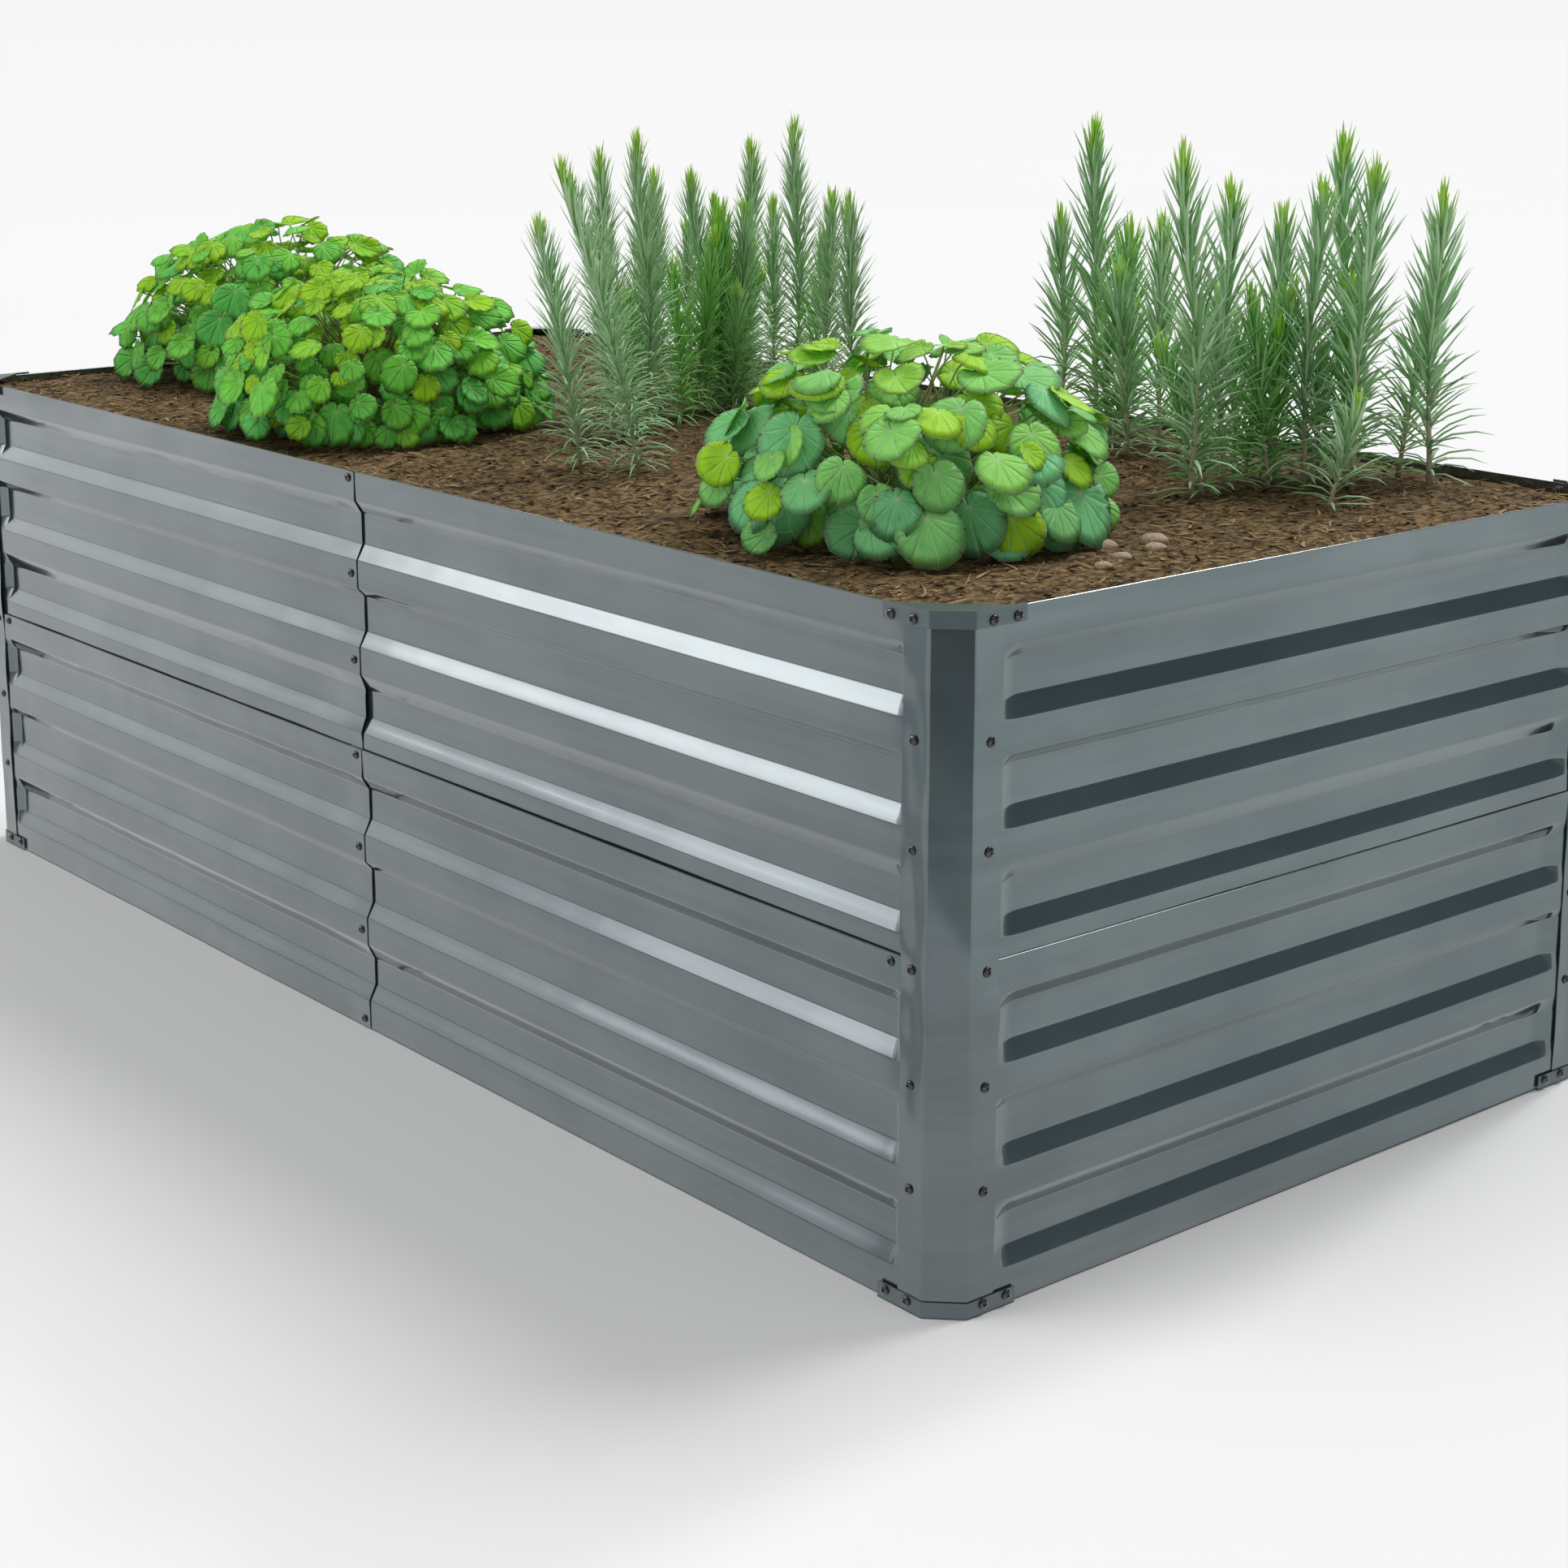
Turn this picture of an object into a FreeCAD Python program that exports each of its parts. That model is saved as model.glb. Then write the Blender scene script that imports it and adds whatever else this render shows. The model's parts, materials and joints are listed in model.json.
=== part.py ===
"""Raised garden bed: bolted corrugated steel walls, corner posts and brackets, filled and planted.

All sizes are in millimetres. X runs along the bed, Y across it and Z up, and the origin is the middle
of the footprint at ground level. Each wall is first drawn in a frame of its own: x along the wall as
seen from outside, y into the bed from the wall's outer plane, and z up from the foot of its panels.
"""

import FreeCAD, Part
import math
import os
from collections import namedtuple

Vector = FreeCAD.Vector
UP = Vector(0, 0, 1)
INWARD = Vector(0, 1, 0)

# ---------------------------------------------------------------- driving dimensions
# The bed, over the outer planes of its walls
BED_LENGTH = 1829.0
BED_WIDTH = 900.0

# Corrugated panels: a flat rim, then grooves and ridges in turn, then a flat rim
PANEL_SHEET = 0.8
PANEL_SETBACK = 30.0        # from the corner of the wall planes to the end of a panel
RIM_HEIGHT = 31.0
RIDGE_HEIGHT = 29.5
GROOVE_FLOOR = 29.0
GROOVE_SLOPE = 17.0         # height of each sloping side of a groove
GROOVE_DEPTH = 9.0
GROOVES = 3
GROOVE_END_MARGIN = 22.0    # flat sheet between a panel's closed end and its grooves
GROOVE_END_SLOPE = 15.0     # length over which a groove sinks at its closed end
ROW_OVERLAP = 14.0          # the lower row laps outside the upper row
SEAM_OVERLAP = 22.0         # the left panel of a long wall laps outside the right one
SHEET_GAP = 0.05            # between sheets that lie on each other

# Corner posts, bent from one sheet round a chamfered corner
POST_SHEET = 1.0
POST_CHAMFER = 26.0         # from the corner of the wall planes to a bend
POST_REACH = 56.0           # from the corner of the wall planes to a flange's edge
POST_BEND_RADIUS = 3.0

# Corner brackets, one at the head and one at the foot of each post
BRACKET_SHEET = 1.5
BRACKET_HEIGHT = 15.0
BRACKET_REACH = 80.0
BRACKET_PLATE_REACH = 66.0  # how far the corner plate runs along each wall
BRACKET_BEND_RADIUS = 2.0
PLATE_GAP = 0.3             # between a corner plate and the edges of the panels

# Fasteners: pan head machine screws with a cross recess, and hexagon nuts inside
SCREW_DIAMETER = 5.0
SCREW_HEAD_DIAMETER = 9.2
SCREW_HEAD_HEIGHT = 3.0
SCREW_HEAD_RIM = 1.1        # height of the straight side of the head
SCREW_TAIL = 0.5            # what shows past the nut on the thickest stack
RECESS_LENGTH = 4.8
RECESS_WIDTH = 1.0
RECESS_DEPTH = 1.5
NUT_ACROSS_FLATS = 8.0
NUT_HEIGHT = 4.0
NUT_BORE_CLEARANCE = 0.05
HOLE_CLEARANCE = 0.25       # round a screw in a sheet
POST_SCREW_INSET = 13.0     # from a post flange's edge to its line of screws
BRACKET_SCREW_INSET = 10.0  # from the end of a bracket's wing to its outer screw
RIM_SCREW_INSET = 8.0       # from a panel's edge to the screws in its rim
RECESS_TURN = 37.0          # degrees from one screw's recess to the next

# Cross braces between the long walls, at the middle seam
BRACE_DIAMETER = 8.0
BRACE_TAB_SHEET = 2.0
BRACE_TAB_WIDTH = 22.0
BRACE_TAB_ABOVE = 8.0       # from the tab's hole to its upper edge
BRACE_TAB_BELOW = 14.0      # and to its lower edge
BRACE_DROP = 9.6            # from the tab's hole down to the rod

# Soil and plants
SOIL_DROP = 8.0             # from the top of the walls down to the soil
SOIL_CLEARANCE = 0.3
SOIL_CORNER_CUT = 30.0      # from the corner of the wall planes, so that the soil clears the posts
SOIL_LIP_BELOW_RIM = 2.0    # the top layer of soil stops this far above the first groove
NUT_POCKET_CLEARANCE = 1.5
SHOOT_RADIUS = 22.0         # of a shoot with its needles, at its widest
# A shoot's outline: share of its height, share of its radius
SHOOT_RINGS = ((0.0, 0.3), (0.16, 0.9), (0.3, 1.0), (0.7, 0.75), (0.93, 0.5), (1.0, 0.15))
CLUMP_FOOT = 0.8            # share of a leafy clump's radius at the soil
CLUMP_WIDEST = 0.33         # share of its height below its widest place
CLUMP_CROWN = 0.6           # share of its radius that its rounded crown spans

# Modelling
PAST = 1.0                  # how far a cut runs past the faces that it cuts through
SAME_PLACE = 1e-4           # points nearer than this are one

# ---------------------------------------------------------------- sizes that follow
groove_height = GROOVE_FLOOR + 2 * GROOVE_SLOPE
pitch = groove_height + RIDGE_HEIGHT
panel_height = 2 * RIM_HEIGHT + GROOVES * pitch - RIDGE_HEIGHT
upper_row_foot = panel_height - ROW_OVERLAP
wall_height = upper_row_foot + panel_height
foot_lift = BRACKET_SHEET + PLATE_GAP
wall_top = foot_lift + wall_height
bed_height = wall_top + foot_lift
soil_top = wall_top - SOIL_DROP

# Sheets nest groove in groove, so their spacing is set by the sloping sides
layer_step = (PANEL_SHEET + SHEET_GAP) * math.hypot(GROOVE_DEPTH, GROOVE_SLOPE) / GROOVE_SLOPE
LEVELS = {"lower_left": 0, "lower": 0, "lower_right": 1, "upper_left": 2, "upper": 1, "upper_right": 3}
deepest_sheet = max(LEVELS.values()) * layer_step + PANEL_SHEET
post_gap = SHEET_GAP
bracket_gap = post_gap + POST_SHEET + SHEET_GAP
bracket_face = bracket_gap + BRACKET_SHEET
screw_length = bracket_face + deepest_sheet + NUT_HEIGHT + SCREW_TAIL
deepest_head_seat = LEVELS["upper_left"] * layer_step
soil_inset = max(deepest_sheet + GROOVE_DEPTH, deepest_head_seat + screw_length) + SOIL_CLEARANCE
soil_lip_inset = deepest_sheet + SOIL_CLEARANCE
hole_radius = SCREW_DIAMETER / 2 + HOLE_CLEARANCE
nut_corner_radius = NUT_ACROSS_FLATS / math.sqrt(3)

# Lines of screws, measured along a wall from the corner of the wall planes
inner_screw = POST_REACH - POST_SCREW_INSET
outer_screw = BRACKET_REACH - BRACKET_SCREW_INSET
ridge_heights = [RIM_HEIGHT + groove_height + RIDGE_HEIGHT / 2 + i * pitch for i in range(GROOVES - 1)]
overlap_screw_height = panel_height - RIM_SCREW_INSET
foot_screw_height = RIM_SCREW_INSET
head_screw_height = wall_height - RIM_SCREW_INSET
post_screw_heights = (ridge_heights + [overlap_screw_height]
                      + [upper_row_foot + height for height in ridge_heights])
brace_heights = {"lower": ridge_heights[-1], "upper": upper_row_foot + ridge_heights[0]}

# The walls and the corners, anticlockwise from the front as seen from above
Wall = namedtuple("Wall", "name length distance turn")
WALLS = [
    Wall("front", BED_LENGTH, BED_WIDTH / 2, 0),
    Wall("right_end", BED_WIDTH, BED_LENGTH / 2, 90),
    Wall("back", BED_LENGTH, BED_WIDTH / 2, 180),
    Wall("left_end", BED_WIDTH, BED_LENGTH / 2, 270),
]
LONG_WALLS = (WALLS[0], WALLS[2])
Corner = namedtuple("Corner", "name x y turn walls")
CORNERS = [
    Corner("front_right", BED_LENGTH / 2, -BED_WIDTH / 2, 0, (WALLS[0], WALLS[1])),
    Corner("back_right", BED_LENGTH / 2, BED_WIDTH / 2, 90, (WALLS[1], WALLS[2])),
    Corner("back_left", -BED_LENGTH / 2, BED_WIDTH / 2, 180, (WALLS[2], WALLS[3])),
    Corner("front_left", -BED_LENGTH / 2, -BED_WIDTH / 2, 270, (WALLS[3], WALLS[0])),
]

# The planting. A place is an offset from the middle of the soil, or from one of its sides.
soil_half_length = BED_LENGTH / 2 - soil_inset
soil_half_width = BED_WIDTH / 2 - soil_inset
# Leafy clumps: name, place, radius, height
CLUMPS = [
    ("leafy_clump_left", (170.0 - soil_half_length, -105.0), 168.0, 180.0),
    ("leafy_clump_middle", (-265.0, 190.0 - soil_half_width), 175.0, 185.0),
    ("leafy_clump_right", (soil_half_length - 320.0, 237.0 - soil_half_width), 195.0, 195.0),
]
# Upright shoots: name, place of the shrub, and for each shoot its offset along and across the bed,
# its height, and how far its tip leans along and across
SHRUBS = [
    ("rosemary_middle", (0.0, 0.0), [
        (115, -235, 265, -30, -30),
        (190, -215, 325, -55, -55),
        (5, -110, 325, -10, -10),
        (-30, -40, 340, -5, -5),
        (-125, 50, 290, 0, -5),
        (-140, 130, 285, -10, -10),
        (-120, 175, 250, 0, 0),
        (-160, 225, 320, -5, -5),
        (-80, 220, 345, 0, 0),
        (35, 170, 270, 5, 5),
        (105, 160, 270, -10, -10),
        (-205, 290, 245, 0, 0),
        (-230, 60, 220, -5, 0),
        (-290, 225, 215, 0, -5),
    ]),
    ("rosemary_right", (soil_half_length, soil_half_width), [
        (-690, -60, 250, 0, -5),
        (-585, -110, 355, -5, -10),
        (-470, -180, 210, -10, -10),
        (-480, -120, 255, -5, 0),
        (-260, -310, 345, -10, -15),
        (-275, -245, 310, 0, -5),
        (-300, -150, 280, 5, 5),
        (-235, -170, 310, 5, 5),
        (-245, -105, 355, -5, -5),
        (-190, -150, 330, 10, 5),
        (-160, -65, 300, 0, 0),
        (-215, -45, 220, 30, 20),
        (-140, -245, 110, 15, 20),
    ]),
]


# ---------------------------------------------------------------- places
def on_wall(shape, wall):
    """Carries a shape from a wall's own frame to its place in the bed."""
    placed = shape.copy()
    placed.translate(Vector(0, -wall.distance, foot_lift))
    placed.rotate(Vector(0, 0, 0), UP, wall.turn)
    return placed


def on_corner(shape, corner):
    """Carries a shape from a corner's frame (walls along -X and +Y, corner at the origin) to the bed."""
    placed = shape.copy()
    placed.rotate(Vector(0, 0, 0), UP, corner.turn)
    placed.translate(Vector(corner.x, corner.y, 0))
    return placed


def rod(radius, length, base, direction):
    """A cylinder from a base point along a direction."""
    return Part.makeCylinder(radius, length, base, direction)


def curve(*poles):
    """A smooth edge drawn by its poles: it starts at the first, ends at the last and leans to the rest."""
    bezier = Part.BezierCurve()
    bezier.setPoles(list(poles))
    return bezier.toShape()


def slab(outline, z_low, z_high):
    """A prism over a closed outline of (x, y) points."""
    points = [Vector(x, y, z_low) for x, y in outline]
    face = Part.Face(Part.makePolygon(points + points[:1]))
    return face.extrude(Vector(0, 0, z_high - z_low))


# ---------------------------------------------------------------- what lies on each wall
# A layer is a flat stretch of one piece on a wall: its extent and its outer and inner faces
Layer = namedtuple("Layer", "node wall x_low x_high z_low z_high outer inner")
# A fastener is one screw with its nut, square to a wall at (x, z)
Fastener = namedtuple("Fastener", "group wall x z")


def panel_layers():
    """The twelve panels: two rows on every wall, each row of a long wall in two panels."""
    layers = []
    for wall in WALLS:
        end = wall.length / 2 - PANEL_SETBACK
        spans = {"": (-end, end)}
        if wall in LONG_WALLS:
            spans = {"_left": (-end, SEAM_OVERLAP / 2), "_right": (-SEAM_OVERLAP / 2, end)}
        for row, foot in (("lower", 0.0), ("upper", upper_row_foot)):
            for side, (x_low, x_high) in spans.items():
                outer = LEVELS[row + side] * layer_step
                layers.append(Layer("panel_%s_%s%s" % (wall.name, row, side), wall, x_low, x_high,
                                    foot, foot + panel_height, outer, outer + PANEL_SHEET))
    return layers


def corner_layers():
    """The flanges of the posts and the wings of the brackets, on the two walls of each corner."""
    layers = []
    pieces = (
        ("post_", POST_CHAMFER, POST_REACH, 0.0, wall_height, post_gap, POST_SHEET),
        ("top_bracket_", POST_CHAMFER, BRACKET_REACH, wall_height + foot_lift - BRACKET_HEIGHT,
         wall_height + foot_lift, bracket_gap, BRACKET_SHEET),
        ("foot_bracket_", POST_CHAMFER, BRACKET_REACH, -foot_lift, BRACKET_HEIGHT - foot_lift,
         bracket_gap, BRACKET_SHEET),
    )
    for corner in CORNERS:
        for wall, side in zip(corner.walls, (1, -1)):
            for prefix, near, far, z_low, z_high, gap, sheet in pieces:
                x_low, x_high = sorted((side * (wall.length / 2 - near), side * (wall.length / 2 - far)))
                layers.append(Layer(prefix + corner.name, wall, x_low, x_high, z_low, z_high,
                                    -gap - sheet, -gap))
    return layers


def brace_layers(panels):
    """The tabs of the two braces, on the inner face of each long wall's seam."""
    layers = []
    for name, height in brace_heights.items():
        for wall in LONG_WALLS:
            face = max(layer.inner for layer in panels if covers(layer, wall, 0.0, height))
            layers.append(Layer("brace_" + name, wall, -BRACE_TAB_WIDTH / 2, BRACE_TAB_WIDTH / 2,
                                height - BRACE_TAB_BELOW, height + BRACE_TAB_ABOVE,
                                face, face + BRACE_TAB_SHEET))
    return layers


def covers(layer, wall, x, z):
    """Whether a layer lies over the point (x, z) of a wall."""
    return layer.wall == wall and layer.x_low < x < layer.x_high and layer.z_low < z < layer.z_high


def all_fasteners():
    """Every screw of the bed: seams, ties in the row overlap, posts and brackets."""
    fasteners = []
    for wall in LONG_WALLS:
        for height in [foot_screw_height] + post_screw_heights + [head_screw_height]:
            fasteners.append(Fastener("seam_%s_" + wall.name, wall, 0.0, height))
        for side in (-1, 1):
            fasteners.append(Fastener("tie_%s_" + wall.name, wall, side * (wall.length / 2 - outer_screw),
                                      overlap_screw_height))
    for corner in CORNERS:
        for wall, side in zip(corner.walls, (1, -1)):
            for height in post_screw_heights:
                fasteners.append(Fastener("post_%s_" + corner.name, wall,
                                          side * (wall.length / 2 - inner_screw), height))
            for height in (foot_screw_height, head_screw_height):
                for inset in (inner_screw, outer_screw):
                    fasteners.append(Fastener("bracket_%s_" + corner.name, wall,
                                              side * (wall.length / 2 - inset), height))
    return fasteners


PANEL_LAYERS = panel_layers()
LAYERS = PANEL_LAYERS + corner_layers() + brace_layers(PANEL_LAYERS)
FASTENERS = all_fasteners()


def stack(fastener):
    """The outer face of the outermost piece and the inner face of the innermost under a screw."""
    held = [layer for layer in LAYERS if covers(layer, fastener.wall, fastener.x, fastener.z)]
    return min(layer.outer for layer in held), max(layer.inner for layer in held)


def with_holes(shape, node):
    """Drills a placed piece for every screw that passes through it."""
    holes = []
    for layer in LAYERS:
        if layer.node != node:
            continue
        for fastener in FASTENERS:
            if covers(layer, fastener.wall, fastener.x, fastener.z):
                start = Vector(fastener.x, layer.outer - PAST, fastener.z)
                depth = layer.inner - layer.outer + 2 * PAST
                holes.append(on_wall(rod(hole_radius, depth, start, INWARD), layer.wall))
    return shape.cut(holes)


# ---------------------------------------------------------------- panels
def groove(x_low, x_high, z_low, closed_low, closed_high, skin):
    """A trough with sloping sides and closed ends; with a skin it is the trough's outside.

    A skin moves every sloping face out by the sheet's thickness, measured square to the face.
    """
    side_run = GROOVE_SLOPE * skin / GROOVE_DEPTH
    side_shift = skin * math.hypot(GROOVE_DEPTH, GROOVE_SLOPE) / GROOVE_DEPTH
    end_run = GROOVE_END_SLOPE * skin / GROOVE_DEPTH
    end_shift = skin * math.hypot(GROOVE_DEPTH, GROOVE_END_SLOPE) / GROOVE_DEPTH
    z_high = z_low + groove_height
    mouth = [x_low, x_high, z_low - side_shift, z_high + side_shift]
    floor = [x_low, x_high, z_low + GROOVE_SLOPE + side_run - side_shift,
             z_high - GROOVE_SLOPE - side_run + side_shift]
    if closed_low:
        mouth[0] = x_low + GROOVE_END_MARGIN - end_shift
        floor[0] = mouth[0] + GROOVE_END_SLOPE + end_run
    if closed_high:
        mouth[1] = x_high - GROOVE_END_MARGIN + end_shift
        floor[1] = mouth[1] - GROOVE_END_SLOPE - end_run
    return Part.makeWedge(mouth[0], 0.0, mouth[2], floor[2], floor[0],
                          mouth[1], GROOVE_DEPTH + skin, mouth[3], floor[3], floor[1])


def panel(layer):
    """A corrugated panel in its wall's frame; its grooves stay open at a seam and close at a post."""
    length = layer.x_high - layer.x_low
    closed_low = layer.x_low < -SEAM_OVERLAP
    closed_high = layer.x_high > SEAM_OVERLAP
    sheet = Part.makeBox(length, PANEL_SHEET, panel_height, Vector(layer.x_low, 0, 0))
    feet = [RIM_HEIGHT + i * pitch for i in range(GROOVES)]
    ends = (layer.x_low, layer.x_high)
    outsides = [groove(*ends, foot, closed_low, closed_high, PANEL_SHEET) for foot in feet]
    insides = [groove(*ends, foot, closed_low, closed_high, 0.0) for foot in feet]
    pressed = sheet.fuse(outsides).cut(insides).removeSplitter()
    pressed.translate(Vector(0, layer.outer, layer.z_low))
    return on_wall(pressed, layer.wall)


# ---------------------------------------------------------------- posts and brackets
def corner_line(gap, reach):
    """The four points of a chamfered line that runs round a corner outside the wall planes."""
    bend = POST_CHAMFER - gap * (math.sqrt(2) - 1)
    return [(-reach, -gap), (-bend, -gap), (gap, bend), (gap, reach)]


def upright_edges(shape, points):
    """The vertical edges of a shape that stand on the given (x, y) points."""
    found = []
    for edge in shape.Edges:
        low, high = edge.Vertexes[0].Point, edge.Vertexes[-1].Point
        upright = math.hypot(low.x - high.x, low.y - high.y) < SAME_PLACE
        if upright and any(math.hypot(low.x - x, low.y - y) < SAME_PLACE for x, y in points):
            found.append(edge)
    return found


def rounded_bends(shape, gap, sheet, radius):
    """Rounds a bent sheet at its two bends: the inner face by a radius, the outer by that and a sheet."""
    inner = upright_edges(shape, corner_line(gap, POST_REACH)[1:3])
    shape = shape.makeFillet(radius, inner)
    outer = upright_edges(shape, corner_line(gap + sheet, POST_REACH)[1:3])
    return shape.makeFillet(radius + sheet, outer)


def post(corner):
    """A corner post: two flanges outside the walls and a chamfer between them."""
    outline = corner_line(post_gap, POST_REACH) + corner_line(post_gap + POST_SHEET, POST_REACH)[::-1]
    blank = slab(outline, foot_lift, wall_top)
    bent = rounded_bends(blank, post_gap, POST_SHEET, POST_BEND_RADIUS)
    return on_corner(bent, corner)


def bracket(corner, plate_low, wing_low):
    """A corner bracket: three narrow walls round the post and a plate that spans the corner."""
    outline = corner_line(bracket_gap, BRACKET_REACH) + corner_line(bracket_face, BRACKET_REACH)[::-1]
    wings = slab(outline, wing_low, wing_low + BRACKET_HEIGHT)
    plate = slab(corner_line(bracket_face, BRACKET_PLATE_REACH), plate_low, plate_low + BRACKET_SHEET)
    blank = wings.fuse(plate).removeSplitter()
    bent = rounded_bends(blank, bracket_gap, BRACKET_SHEET, BRACKET_BEND_RADIUS)
    return on_corner(bent, corner)


# ---------------------------------------------------------------- fasteners
def screw():
    """A pan head screw along +Y, seated at the origin, with a cross recess in its domed head."""
    radius = SCREW_HEAD_DIAMETER / 2
    shoulder = Vector(radius, -SCREW_HEAD_RIM, 0)
    crown = Vector(0, -SCREW_HEAD_HEIGHT, 0)
    side = Vector(radius, -(SCREW_HEAD_RIM + SCREW_HEAD_HEIGHT) / 2, 0)
    brow = Vector(radius / 2, -SCREW_HEAD_HEIGHT, 0)
    shank = SCREW_DIAMETER / 2
    outline = Part.Wire([
        Part.makeLine(crown, Vector(0, screw_length, 0)),
        Part.makeLine(Vector(0, screw_length, 0), Vector(shank, screw_length, 0)),
        Part.makeLine(Vector(shank, screw_length, 0), Vector(shank, 0, 0)),
        Part.makeLine(Vector(shank, 0, 0), Vector(radius, 0, 0)),
        Part.makeLine(Vector(radius, 0, 0), shoulder),
        curve(shoulder, side, brow, crown),
    ])
    body = Part.Face(outline).revolve(Vector(0, 0, 0), INWARD, 360)
    slots = []
    for width, height in ((RECESS_LENGTH, RECESS_WIDTH), (RECESS_WIDTH, RECESS_LENGTH)):
        corner = Vector(-width / 2, -SCREW_HEAD_HEIGHT - PAST, -height / 2)
        slots.append(Part.makeBox(width, RECESS_DEPTH + PAST, height, corner))
    return body.cut(slots)


def nut():
    """A hexagon nut along +Y, seated at the origin."""
    corners = []
    for i in range(6):
        angle = math.radians(60 * i)
        corners.append(Vector(nut_corner_radius * math.cos(angle), 0, nut_corner_radius * math.sin(angle)))
    block = Part.Face(Part.makePolygon(corners + corners[:1])).extrude(INWARD * NUT_HEIGHT)
    bore = rod(SCREW_DIAMETER / 2 + NUT_BORE_CLEARANCE, NUT_HEIGHT + 2 * PAST, Vector(0, -PAST, 0), INWARD)
    return block.cut(bore)


def hardware():
    """All screws and nuts, as groups of separate solids keyed by node."""
    pattern = {"screws": screw(), "nuts": nut()}
    groups = {}
    for index, fastener in enumerate(FASTENERS):
        seats = dict(zip(("screws", "nuts"), stack(fastener)))
        for kind, seat in seats.items():
            piece = pattern[kind].copy()
            piece.rotate(Vector(0, 0, 0), INWARD, index * RECESS_TURN)
            piece.translate(Vector(fastener.x, seat, fastener.z))
            groups.setdefault(fastener.group % kind, []).append(on_wall(piece, fastener.wall))
    return groups


# ---------------------------------------------------------------- braces
def brace(name):
    """A round rod across the bed with a flattened tab at each end, bolted at the seams."""
    height = brace_heights[name]
    tabs = [layer for layer in LAYERS if layer.node == "brace_" + name]
    pieces = []
    for tab in tabs:
        block = Part.makeBox(BRACE_TAB_WIDTH, BRACE_TAB_SHEET, BRACE_TAB_ABOVE + BRACE_TAB_BELOW,
                             Vector(tab.x_low, tab.outer, tab.z_low))
        pieces.append(on_wall(block, tab.wall))
    start = tabs[0].outer
    span = BED_WIDTH - tabs[0].outer - tabs[1].outer
    bar = rod(BRACE_DIAMETER / 2, span, Vector(0, start, height - BRACE_DROP), INWARD)
    return on_wall(bar, WALLS[0]).fuse(pieces).removeSplitter()


# ---------------------------------------------------------------- soil and plants
def chamfered_rectangle(inset):
    """The outline of the bed set in from its wall planes, with its corners cut off inside the posts."""
    x, y = BED_LENGTH / 2, BED_WIDTH / 2
    cut = SOIL_CORNER_CUT - inset
    outline = []
    for sx, sy in ((1, -1), (1, 1), (-1, 1), (-1, -1)):
        along = (sx * (x - cut), sy * (y - inset))
        across = (sx * (x - inset), sy * (y - cut))
        outline += [along, across] if sx == -sy else [across, along]
    return outline


def soil():
    """The filling: clear of the grooves and the hardware below, and out to the rims at the top."""
    body = slab(chamfered_rectangle(soil_inset), 0.0, soil_top)
    lip_low = wall_top - RIM_HEIGHT + SOIL_LIP_BELOW_RIM
    lip = slab(chamfered_rectangle(soil_lip_inset), lip_low, soil_top)
    cuts = []
    for fastener in FASTENERS:
        if fastener.z == head_screw_height:
            pocket = rod(nut_corner_radius + NUT_POCKET_CLEARANCE, soil_inset + PAST,
                         Vector(fastener.x, 0, fastener.z), INWARD)
            cuts.append(on_wall(pocket, fastener.wall))
    for height in brace_heights.values():
        tunnel = rod(BRACE_DIAMETER / 2 + SOIL_CLEARANCE, BED_WIDTH,
                     Vector(0, 0, height - BRACE_DROP), INWARD)
        cuts.append(on_wall(tunnel, WALLS[0]))
    reach = BRACKET_PLATE_REACH + SOIL_CLEARANCE
    for corner in CORNERS:
        foot = slab([(-reach, 0), (0, 0), (0, reach)], 0.0, foot_lift)
        cuts.append(on_corner(foot, corner))
    return body.fuse(lip).removeSplitter().cut(cuts)


def clump(place, radius, height):
    """A leafy clump as one closed dome, narrower at the soil than at its widest place."""
    base = Vector(0, 0, 0)
    foot = Vector(radius * CLUMP_FOOT, 0, 0)
    widest = Vector(radius, 0, height * CLUMP_WIDEST)
    top = Vector(0, 0, height)
    under = curve(foot, (foot + Vector(radius, 0, 0)) / 2, Vector(radius, 0, widest.z / 2), widest)
    over = curve(widest, Vector(radius, 0, (widest.z + height) / 2),
                 Vector(radius * CLUMP_CROWN, 0, height), top)
    outline = Part.Wire([Part.makeLine(base, foot), under, over, Part.makeLine(top, base)])
    dome = Part.Face(outline).revolve(Vector(0, 0, 0), UP, 360)
    dome.translate(Vector(place[0], place[1], soil_top))
    return dome


def shoot(x, y, height, lean_x, lean_y):
    """One upright shoot with its needles as a slender leaning spindle that stands on the soil."""
    wires = []
    for share, width in SHOOT_RINGS:
        centre = Vector(x + lean_x * share, y + lean_y * share, soil_top + height * share)
        wires.append(Part.Wire(Part.makeCircle(SHOOT_RADIUS * width, centre, UP)))
    return Part.makeLoft(wires, True, True)


# ---------------------------------------------------------------- the bed
def build():
    """Every piece of the bed, as node name to shape."""
    nodes = {}
    for layer in PANEL_LAYERS:
        nodes[layer.node] = with_holes(panel(layer), layer.node)
    for corner in CORNERS:
        heads = (("post_", post(corner)),
                 ("top_bracket_", bracket(corner, wall_top + PLATE_GAP, bed_height - BRACKET_HEIGHT)),
                 ("foot_bracket_", bracket(corner, 0.0, 0.0)))
        for prefix, shape in heads:
            nodes[prefix + corner.name] = with_holes(shape, prefix + corner.name)
    for name in brace_heights:
        nodes["brace_" + name] = with_holes(brace(name), "brace_" + name)
    for name, pieces in hardware().items():
        nodes[name] = Part.makeCompound(pieces)
    nodes["soil"] = soil()
    for name, place, radius, height in CLUMPS:
        nodes[name] = clump(place, radius, height)
    for name, place, shoots in SHRUBS:
        stems = []
        for along, across, height, lean_x, lean_y in shoots:
            stems.append(shoot(place[0] + along, place[1] + across, height, lean_x, lean_y))
        nodes[name] = Part.makeCompound(stems)
    return nodes


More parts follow.
